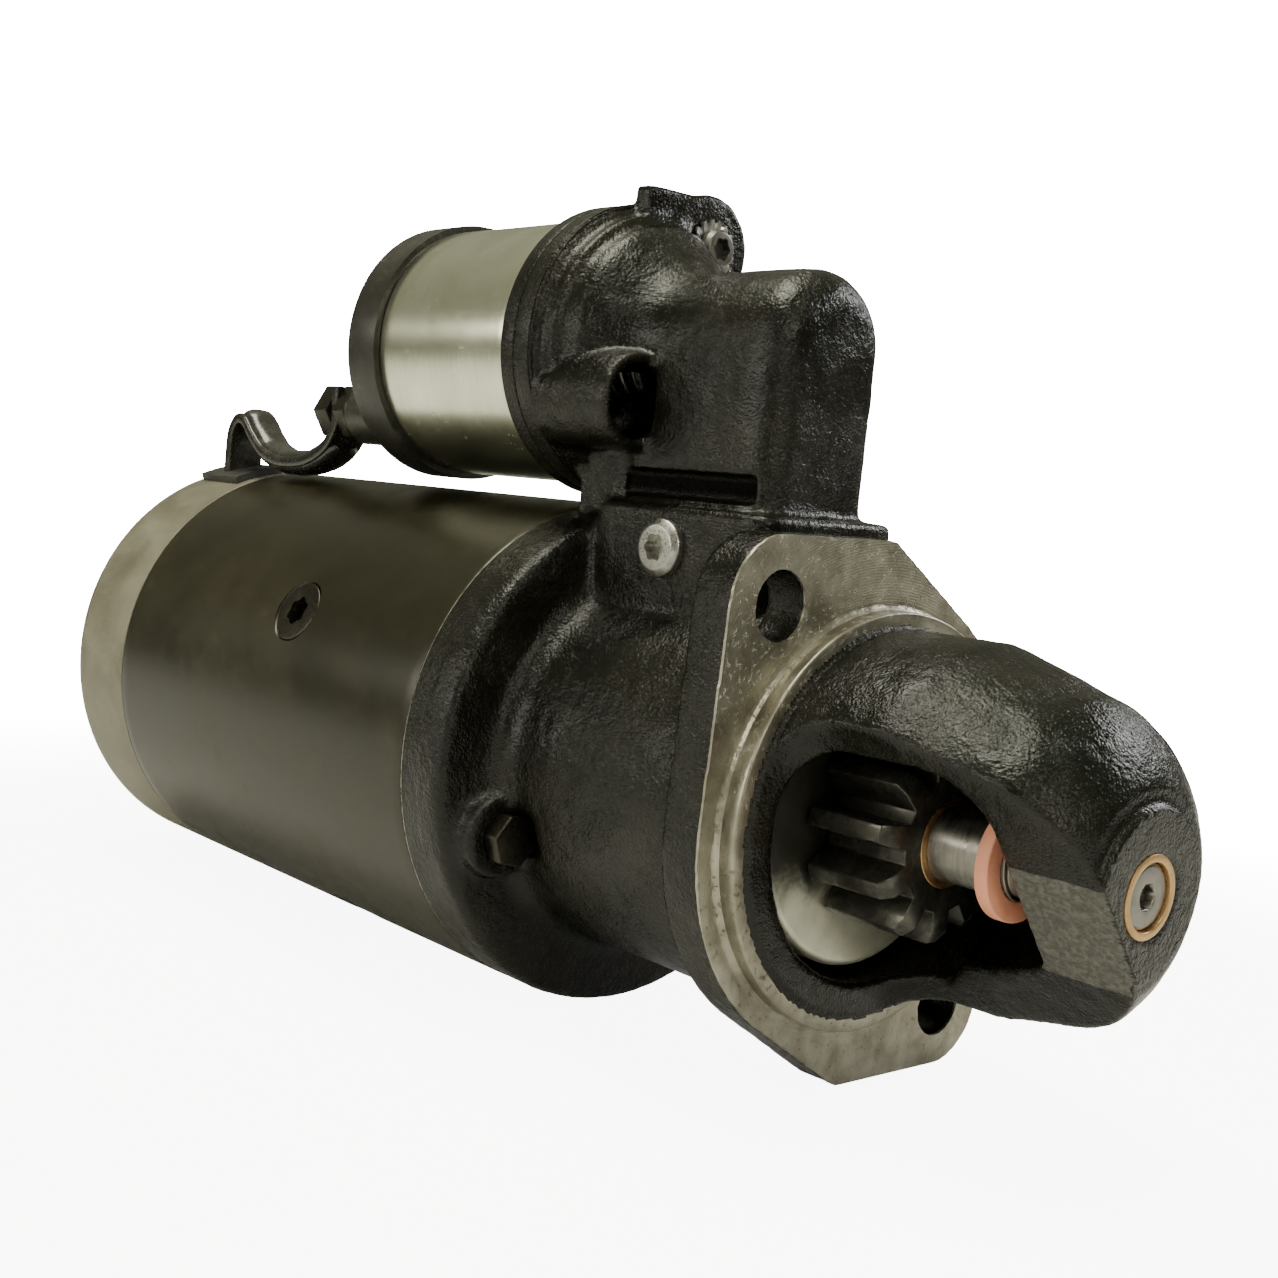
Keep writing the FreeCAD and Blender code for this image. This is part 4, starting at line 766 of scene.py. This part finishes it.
def wear_and_painted_shade(mesh, points, r, normals):
    """Layers for the look: painted shade in the waist groove and two screw pockets, paint worn thin on the
    window's edge, and bare machined iron.
    """
    x, y, z = points.T
    groove = (np.abs(y) > 12.5) & (np.abs(y) < 16.2) & (x > -61.5) & (x < -25.0)
    # painted shade: darkest along the middle of the waist groove, and in the pockets of two solenoid screws
    hollow_shade = np.zeros(len(points))
    hollow_shade[groove] = np.clip(1.6 - np.abs(z[groove] - 61.6) / 2.2, 0, 1)
    for seat_y, seat_z, _ in seat_places()[1:]:
        hollow_shade[(np.hypot(y - seat_y, z - seat_z) < SEAT_POCKET_R) & (x < -55.0)] = 0.8
    set_layer(mesh, "hollow_shade", hollow_shade)

    across = WINDOW[0] * y + WINDOW[1] * z
    along = WINDOW[1] * y - WINDOW[0] * z
    cut_face = (across > WINDOW_CUT) & (normals @ np.array([0.0, *WINDOW]) > 0.85)
    worn = np.zeros(len(points))
    worn[cut_face & (x > 40.0) & (z < 2.0) & (along > -15.5)] = 1.0
    worn[(x > 59.3) & (r < 14.6)] = 0.42
    worn[cut_face & (worn == 0) & (x > 2.0) & (x < 54.0)] = 0.25
    set_layer(mesh, "worn", worn)

    flange_face = (x > -0.75) & (x < 1.2) & (r > 38.6)
    set_layer(mesh, "bare_and_edge_highlight", np.where(flange_face, 1.0, 0.0))


def turned_ring(outline, bare_and_edge_highlight, z=0.0, segments=192):
    """A crisp machined ring of the casting, with the layers that its look reads."""
    ring = lathe_mesh(divided(outline, 3.0), z=z, segments=segments)
    for name, value in (("bare_and_edge_highlight", bare_and_edge_highlight), ("worn", 0.0), ("hollow_shade", 0.0)):
        set_layer(ring, name, np.full(len(ring.vertices), value))
    return ring


def casting():
    """The drive housing as it comes from sand: edges and corners run soft, machined faces stay flat."""
    mesh, edges = casting_grid()
    points, waist = softened(coords(mesh) / MM, edges)
    r = np.hypot(points[:, 1], points[:, 2])
    held = trued(points, r) | waist
    put_coords(mesh, points * MM)
    normals = np.empty(len(points) * 3, np.float32)
    mesh.vertices.foreach_get("normal", normals)
    normals = normals.reshape(-1, 3)
    put_coords(mesh, (points + normals * sand_lumps(points, r, held)[:, None]) * MM)
    wear_and_painted_shade(mesh, points, r, normals)

    pilot = turned_ring(filleted([(-1.0, 38.3, 0), (4.22, 38.3, 0.2), (4.22, 41.28, 0.55), (0.9, 41.28, 0),
                                  (0.45, 40.9, 0), (-0.2, 41.6, 0), (-1.0, 41.6, 0)], 0.1), 1.0, segments=256)
    collar = turned_ring(filleted([(-82.5, 20.0, 0), (-82.5, 31.95, 0.5), (-77.0, 31.95, 0.9),
                                   (-77.0, 28.0, 0)], 0.3), 0.0, z=SOLENOID_Z)
    whole = joined([mesh, pilot, collar])
    smooth(whole, 48)
    add_mesh("housing_casting", whole, "drive_housing", looks["housing_paint"])


# ------------------------------------------------------------------ motor body

POLE_ANGLES = [63.6 + 90 * k for k in range(4)]
POLE_X = -132.0


def at_poles(mesh):
    """One mesh with a copy at each pole, its X axis turned to point away from the shaft."""
    upright = Matrix.Rotation(math.radians(-90), 4, "Y")
    return joined([moved(mesh, shift(POLE_X) @ about_x(angle - 90) @ upright) for angle in POLE_ANGLES])


def motor_tube():
    """Yoke with broken edges and a countersink for each pole screw, with a painted highlight band of light
    metal at its front edge.
    """
    outline = filleted([(-209.3, 49.0), (-209.3, 56.0), (-77.45, 56.0), (-77.45, 49.0)], 0.5)
    tube = lathe_mesh(divided(outline, 3.0), segments=288)
    cone = lathe_mesh(filleted([(44.0, 0.0, 0), (44.0, 3.9, 0), (51.6, 4.0, 0), (55.6, 8.0, 0),
                                (59.0, 8.6, 0), (59.0, 0.0, 0)], 0), segments=72)
    mesh = cut_by(tube, at_poles(cone))
    x, y, z = (coords(mesh) / MM).T
    # painted highlight: the front edge is marked for a light metal band
    front_edge = (x > -77.6) & (np.hypot(y, z) > 55.4)
    set_layer(mesh, "bare_and_edge_highlight", np.where(front_edge, 0.6, 0.0))
    smooth(mesh, 30)
    add_mesh("motor_tube", mesh, "yoke", looks["yoke_paint"])


def pole_screws():
    """Countersunk star screws, one at each pole."""
    head = star_head(filleted([(42.0, 0, 0), (42.0, 3.8, 0.2), (51.6, 3.85, 0), (55.2, 7.5, 0.25),
                               (55.75, 7.3, 0.5), (55.9, 0, 0)], 0.3), 3.6, 52.8, 56.5)
    screws = at_poles(head)
    smooth(screws, 34)
    add_mesh("pole_screw_set", screws, "pole_screws", looks["dark_steel"])


# ------------------------------------------------------------------ solenoid

def solenoid_outside():
    """Zinc can with rolled edges, its front plate, and the moulded cap."""
    outline = filleted([(-136.6, 27.9), (-136.6, 29.5, 0.8), (-86.8, 29.5, 0.8), (-86.8, 27.9)], 0.4)
    can = lathe_mesh(divided(outline, 4.0), z=SOLENOID_Z)
    smooth(can, 40)
    add_mesh("can_drawn", can, "solenoid_can", looks["zinc_steel"])
    refined("solenoid_front_plate", 0.5, looks["housing_paint"])
    refined("solenoid_cap", 0.8, looks["cap_plastic"], segments=4)


def seat_screw_set():
    """Three star screws with serrated washers round the solenoid seat."""
    head = star_head(filleted([(0.0, 0, 0), (0.0, 4.5, 0.4), (1.4, 4.5, 0.4), (2.6, 3.8, 0.6),
                               (2.7, 0, 0)], 0.3), 2.6, 0.8, 2.9, segments=56)
    washer = serrated(3.1, 6.6, 1.3)
    heads, washers = [], []
    for y, z, seat in seat_places():
        heads.append(moved(head, shift(seat + 1.2, y, z)))
        tip, neck, shank_r = seat - 8.0, seat + 1.3, 2.85
        heads.append(lathe_mesh([(tip, 0), (tip, shank_r), (neck, shank_r), (neck, 0)], y, z, 32))
        washers.append(moved(washer, shift(seat + 0.1, y, z)))
    mesh = joined(heads)
    smooth(mesh, 34)
    add_mesh("seat_screw_heads", mesh, "solenoid_screws", looks["screw_steel"])
    mesh = joined(washers)
    smooth(mesh, 25)
    add_mesh("serrated_washers", mesh, "screw_washers", looks["bright_steel"])


def serrated(inner, outer, thick, teeth=16):
    """A toothed lock washer: each tooth twisted a little out of the plane."""
    bm = bmesh.new()
    per_tooth = 6
    steps = teeth * per_tooth
    rings = []
    for radius, lift in ((inner, 0.0), ((inner + outer) / 2 - 0.4, 0.0), (outer, 1.0)):
        for side in (0, 1):
            row = []
            for k in range(steps):
                step = k % per_tooth
                phase = step / per_tooth
                r = radius - (0.75 if lift and step in (0, per_tooth - 1) else 0.0)
                x = side * thick * 0.55 + lift * (thick * 0.45) * phase
                t = 2 * math.pi * k / steps
                row.append(bm.verts.new((x * MM, r * math.cos(t) * MM, r * math.sin(t) * MM)))
            rings.append(row)
    order = [0, 2, 4, 5, 3, 1]
    for i in range(len(order)):
        a, b = rings[order[i]], rings[order[(i + 1) % len(order)]]
        for k in range(steps):
            n = (k + 1) % steps
            bm.faces.new((a[k], b[k], b[n], a[n]))
    bmesh.ops.recalc_face_normals(bm, faces=bm.faces)
    return from_bmesh(bm, "lock_washer")


def pivot_screw():
    """Lever pivot: a bright star screw across the block."""
    low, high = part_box("lever_pivot")
    length = high.y / MM - low.y / MM
    screw = star_head(filleted([(0, 0, 0), (0, 4.0, 0.6), (length - 3.4, 4.0, 0), (length - 3.4, 5.9, 0.3),
                                (length - 1.3, 5.9, 0.7), (length - 0.2, 4.6, 0.6), (length, 0, 0)], 0.3),
                      2.9, length - 2.6, length + 0.4, segments=72)
    turn = Matrix.Rotation(math.radians(-90), 4, "Z")
    place = Matrix.Translation(((low.x + high.x) / 2, high.y, (low.z + high.z) / 2))
    mesh = moved(screw, place @ turn)
    smooth(mesh, 34)
    add_mesh("pivot_star_screw", mesh, "lever_pivot", looks["pivot_steel"])


# ------------------------------------------------------------------ connector strap

SLEEVED = slice(19, 68)  # steps of the strap's curve that its sleeve covers


def spline(points, steps=7):
    """A smooth curve through (x, z) points."""
    ends = [points[0]] + points + [points[-1]]
    out = []
    for i in range(1, len(ends) - 2):
        a, b, c, d = (np.array(ends[i + k], float) for k in (-1, 0, 1, 2))
        for k in range(steps):
            t = k / steps
            out.append(0.5 * (2 * b + (c - a) * t + (2 * a - 5 * b + 4 * c - d) * t * t
                              + (3 * b - a - 3 * c + d) * t * t * t))
    return out + [np.array(points[-1], float)]


def swept(path, y, half_width, half_depth, power, segments=28, closed_soft=0.0):
    """A bar along an (x, z) path; power 2 gives an oval section, larger powers a squarer one."""
    bm = bmesh.new()
    rings = []
    last = len(path) - 1
    for i, p in enumerate(path):
        along = path[min(i + 1, last)] - path[max(i - 1, 0)]
        along = along / np.linalg.norm(along)
        across = np.array([-along[1], along[0]])
        end = min(i, last - i)
        soft = 1.0 - closed_soft * max(0.0, 1 - end / 2.0) ** 2
        row = []
        for k in range(segments):
            t = 2 * math.pi * k / segments
            c, s = math.cos(t), math.sin(t)
            u = math.copysign(abs(c) ** (2 / power), c) * half_width * soft
            v = math.copysign(abs(s) ** (2 / power), s) * half_depth * soft
            x, z = p + across * v
            row.append(bm.verts.new((x * MM, (y + u) * MM, z * MM)))
        rings.append(row)
    for a, b in zip(rings, rings[1:]):
        for k in range(segments):
            n = (k + 1) % segments
            bm.faces.new((a[k], b[k], b[n], a[n]))
    bm.faces.new(rings[0])
    bm.faces.new(rings[-1][::-1])
    bmesh.ops.recalc_face_normals(bm, faces=bm.faces)
    return from_bmesh(bm, "swept")


def strap():
    """Flat copper bar from the motor stud into the cover, with a thick sleeve over the dip."""
    low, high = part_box("connector_strap")
    y = (low.y + high.y) / 2 / MM
    lug_x = high.x / MM - 1.5
    leg_x = low.x / MM + 1.5
    bar = spline([(lug_x, high.z / MM), (lug_x, 74.0), (lug_x, 69.5), (-174.8, 64.0), (-183.0, 60.2),
                  (-192.0, 59.0), (-200.0, 59.3), (-207.5, 61.6), (-213.5, 65.8), (-217.5, 69.3),
                  (-221.5, 69.8), (leg_x + 0.6, 66.0), (leg_x, 60.0), (leg_x, 53.0), (leg_x, low.z / MM)])
    flat = swept(bar, y, 5.4, 1.5, 9.0)
    sleeve = swept(bar[SLEEVED], y, 5.0, 3.3, 2.6, closed_soft=0.22)
    points = coords(sleeve)
    points[:, 2] += [noise.noise(Vector(p) / (4 * MM)) * 0.35 * MM for p in points]
    put_coords(sleeve, points)
    whole = joined([flat, sleeve])
    smooth(whole, 42)
    add_mesh("strap_sleeved", whole, "connector_strap", looks["strap_black"])


def threaded_studs():
    """Both studs: the CAD shape with real threads on the free ends."""
    low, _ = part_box("contact_studs")
    tip = low.x / MM
    thread = thread_mesh(tip, tip + 8.0, 4.0, 1.25)
    parts = []
    for y, z in stud_places():
        parts.append(moved(thread, shift(0, y, z)))
        parts.append(lathe_mesh([(tip + 7.9, 0), (tip + 7.9, 3.6), (-146.0, 3.6), (-146.0, 5.0),
                                 (-143.2, 5.0), (-143.2, 0)], y, z, 40))
    mesh = joined(parts)
    smooth(mesh, 40)
    add_mesh("threaded_studs", mesh, "contact_studs", looks["copper"])


def stud_places():
    """Centre (y, z) of each stud, taken from its washer."""
    points = coords(nodes["stud_washers"].data) / MM
    lower = points[:, 2] < SOLENOID_Z
    corners = [(group.min(axis=0), group.max(axis=0)) for group in (points[lower], points[~lower])]
    return [((low[1] + high[1]) / 2, (low[2] + high[2]) / 2) for low, high in corners]


# ------------------------------------------------------------------ everything else

def shaft():
    """Armature shaft with a star recess in its front end."""
    mesh = cut_by(bevelled(cad_copy("armature_shaft"), 0.3), prism(star(2.5), 57.4, 61.0))
    smooth(mesh, 32)
    add_mesh("shaft_turned", mesh, "armature_shaft", looks["journal_steel"])


def pressed_springs():
    """The springs that the joints list as deforming, each shown as its CAD wire on a mesh of its own."""
    for joint in joints:
        for spring in joint.get("deforming_nodes", []):
            node, travel = spring["node"], joint["range_m"][1]
            wire = cad_copy(node, angle=0)
            smooth(wire, 60)
            piece = add_mesh(node + "_wound", wire, node, looks["spring_steel"])
            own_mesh(piece)


strap()
threaded_studs()
casting()
motor_tube()
pole_screws()
shaft()
pressed_springs()
solenoid_outside()
seat_screw_set()
pivot_screw()

BROKEN_EDGES = {
    "rear_cover": 0.5, "bearing_cap": 0.4, "cap_screws": 0.25, "plate_screws": 0.25, "through_bolts": 0.35,
    "pinion": 0.35, "clutch_shell": 0.3, "clutch_body": 0.25, "nose_bush": 0.25, "thrust_washer": 0.3,
    "stud_nuts": 0.4, "stud_washers": 0.25, "strap_grommet": 1.0, "signal_terminal": 0.15,
    "pinion_bush": 0.2,
}
OWN_LOOK = {"thrust_washer": looks["red_fibre"]}  # where the look isn't the one its CAD material names
for node, width in BROKEN_EDGES.items():
    refined(node, width, OWN_LOOK.get(node))

for node, mesh_node in nodes.items():
    mesh_node.data.materials.clear()
    mesh_node.data.materials.append(looks[slot_of[node]])


# ------------------------------------------------------------------ floor, light and camera

BACKDROP = 30.0  # strength of the white that only the camera sees
FLOOR_FILL = 8.0
WARM = (1.0, 0.97, 0.80)


def softbox(name, place, aim, width, height, power, colour=(1, 1, 1)):
    """A rectangular area light, in metres and watts, turned towards a point."""
    data = bpy.data.lights.new(name, "AREA")
    data.shape = "RECTANGLE"
    data.size = width
    data.size_y = height
    data.energy = power
    data.color = colour
    lamp = bpy.data.objects.new(name, data)
    bpy.context.scene.collection.objects.link(lamp)
    lamp.location = place
    lamp.rotation_euler = (Vector(aim) - Vector(place)).to_track_quat("-Z", "Y").to_euler()


def studio_floor():
    """A pale sheet that runs out into the white of the backdrop."""
    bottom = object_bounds()[0].z
    bm = bmesh.new()
    bmesh.ops.create_circle(bm, cap_ends=True, radius=5.0, segments=96)
    floor = bpy.data.objects.new("floor", from_bmesh(bm, "floor"))
    bpy.context.scene.collection.objects.link(floor)
    floor.location = (-0.09, 0, bottom - 0.0002)
    look = Look("pale_sheet")
    grain = look.noise(2.0, 3.0, 0.5)
    look.give("Base Color", look.mix(grain, (0.80, 0.80, 0.79), (0.84, 0.84, 0.83)))
    look.give("Roughness", 0.75)
    look.give("Specular IOR Level", 0.1)
    tree = look.tree
    distance = tree.nodes.new("ShaderNodeVectorMath")
    distance.operation = "LENGTH"
    look.link(look.coord, distance.inputs[0])
    away = look.remap(distance.outputs["Value"], 0.2, 0.62)
    seen = tree.nodes.new("ShaderNodeLightPath").outputs["Is Camera Ray"]
    glow = tree.nodes.new("ShaderNodeEmission")
    glow.inputs["Color"].default_value = (1, 1, 0.995, 1)
    glow.inputs["Strength"].default_value = BACKDROP
    blend = tree.nodes.new("ShaderNodeMixShader")
    fill = tree.nodes.new("ShaderNodeEmission")
    look.link(look.math("MULTIPLY", seen, FLOOR_FILL), fill.inputs["Strength"])
    lifted = tree.nodes.new("ShaderNodeAddShader")
    look.link(look.shader.outputs[0], lifted.inputs[0])
    look.link(fill.outputs[0], lifted.inputs[1])
    look.link(look.math("MULTIPLY", away, seen), blend.inputs[0])
    look.link(lifted.outputs[0], blend.inputs[1])
    look.link(glow.outputs[0], blend.inputs[2])
    look.link(blend.outputs[0], tree.nodes["Material Output"].inputs["Surface"])
    floor.data.materials.append(look.material)


def studio_world():
    """White to the camera, and a dimmer room with a brighter ceiling to everything it lights."""
    world = bpy.data.worlds.new("studio")
    bpy.context.scene.world = world
    world.use_nodes = True
    tree = world.node_tree
    background = tree.nodes["Background"]
    path = tree.nodes.new("ShaderNodeLightPath")
    where = tree.nodes.new("ShaderNodeTexCoord")
    split = tree.nodes.new("ShaderNodeSeparateXYZ")
    tree.links.new(where.outputs["Generated"], split.inputs[0])
    ramp = tree.nodes.new("ShaderNodeMapRange")
    tree.links.new(split.outputs["Z"], ramp.inputs["Value"])
    ramp.inputs["From Min"].default_value = -0.1
    ramp.inputs["From Max"].default_value = 0.9
    ramp.inputs["To Min"].default_value = 0.06
    ramp.inputs["To Max"].default_value = 0.45
    pick = tree.nodes.new("ShaderNodeMix")
    tree.links.new(path.outputs["Is Camera Ray"], pick.inputs[0])
    tree.links.new(ramp.outputs["Result"], pick.inputs[2])
    pick.inputs[3].default_value = BACKDROP
    tree.links.new(pick.outputs[0], background.inputs["Strength"])
    tint = tree.nodes.new("ShaderNodeMix")
    tint.data_type = "RGBA"
    tree.links.new(path.outputs["Is Camera Ray"], tint.inputs[0])
    tint.inputs[6].default_value = (1.0, 0.99, 0.72, 1)
    tint.inputs[7].default_value = (1.0, 1.0, 0.995, 1)
    tree.links.new(tint.outputs[2], background.inputs["Color"])


studio_floor()
studio_world()
softbox("key_above", (-0.15, -0.15, 0.95), (-0.1, 0, 0.03), 0.75, 0.35, 12, WARM)
softbox("upright_strip", (-0.02, -0.85, 0.28), (-0.05, 0, 0.06), 0.05, 0.8, 0.7)
softbox("long_strip", (-0.35, -0.95, 0.30), (-0.1, 0, 0.04), 1.3, 0.13, 5, WARM)
softbox("front_right", (0.85, -0.35, 0.45), (0.0, 0, 0.02), 0.2, 0.4, 2.6, WARM)
softbox("back_rim", (0.2, 0.95, 0.55), (-0.05, 0, 0.05), 0.6, 0.2, 5)

# The camera fitted to the photograph: its place in metres, its turn in degrees and its lens.
camera_data = bpy.data.cameras.new("view")
camera = bpy.data.objects.new("view", camera_data)
bpy.context.scene.collection.objects.link(camera)
camera.location = (0.2020227, -0.2594652, 0.0601175)
camera.rotation_euler = [math.radians(a) for a in (81.76441, -4.89096, 52.30575)]
camera_data.lens = 47.0035
camera_data.sensor_width = 36.0
camera_data.shift_x = 0.129859
camera_data.shift_y = 0.059591
camera_data.clip_start = 0.01
bpy.context.scene.camera = camera
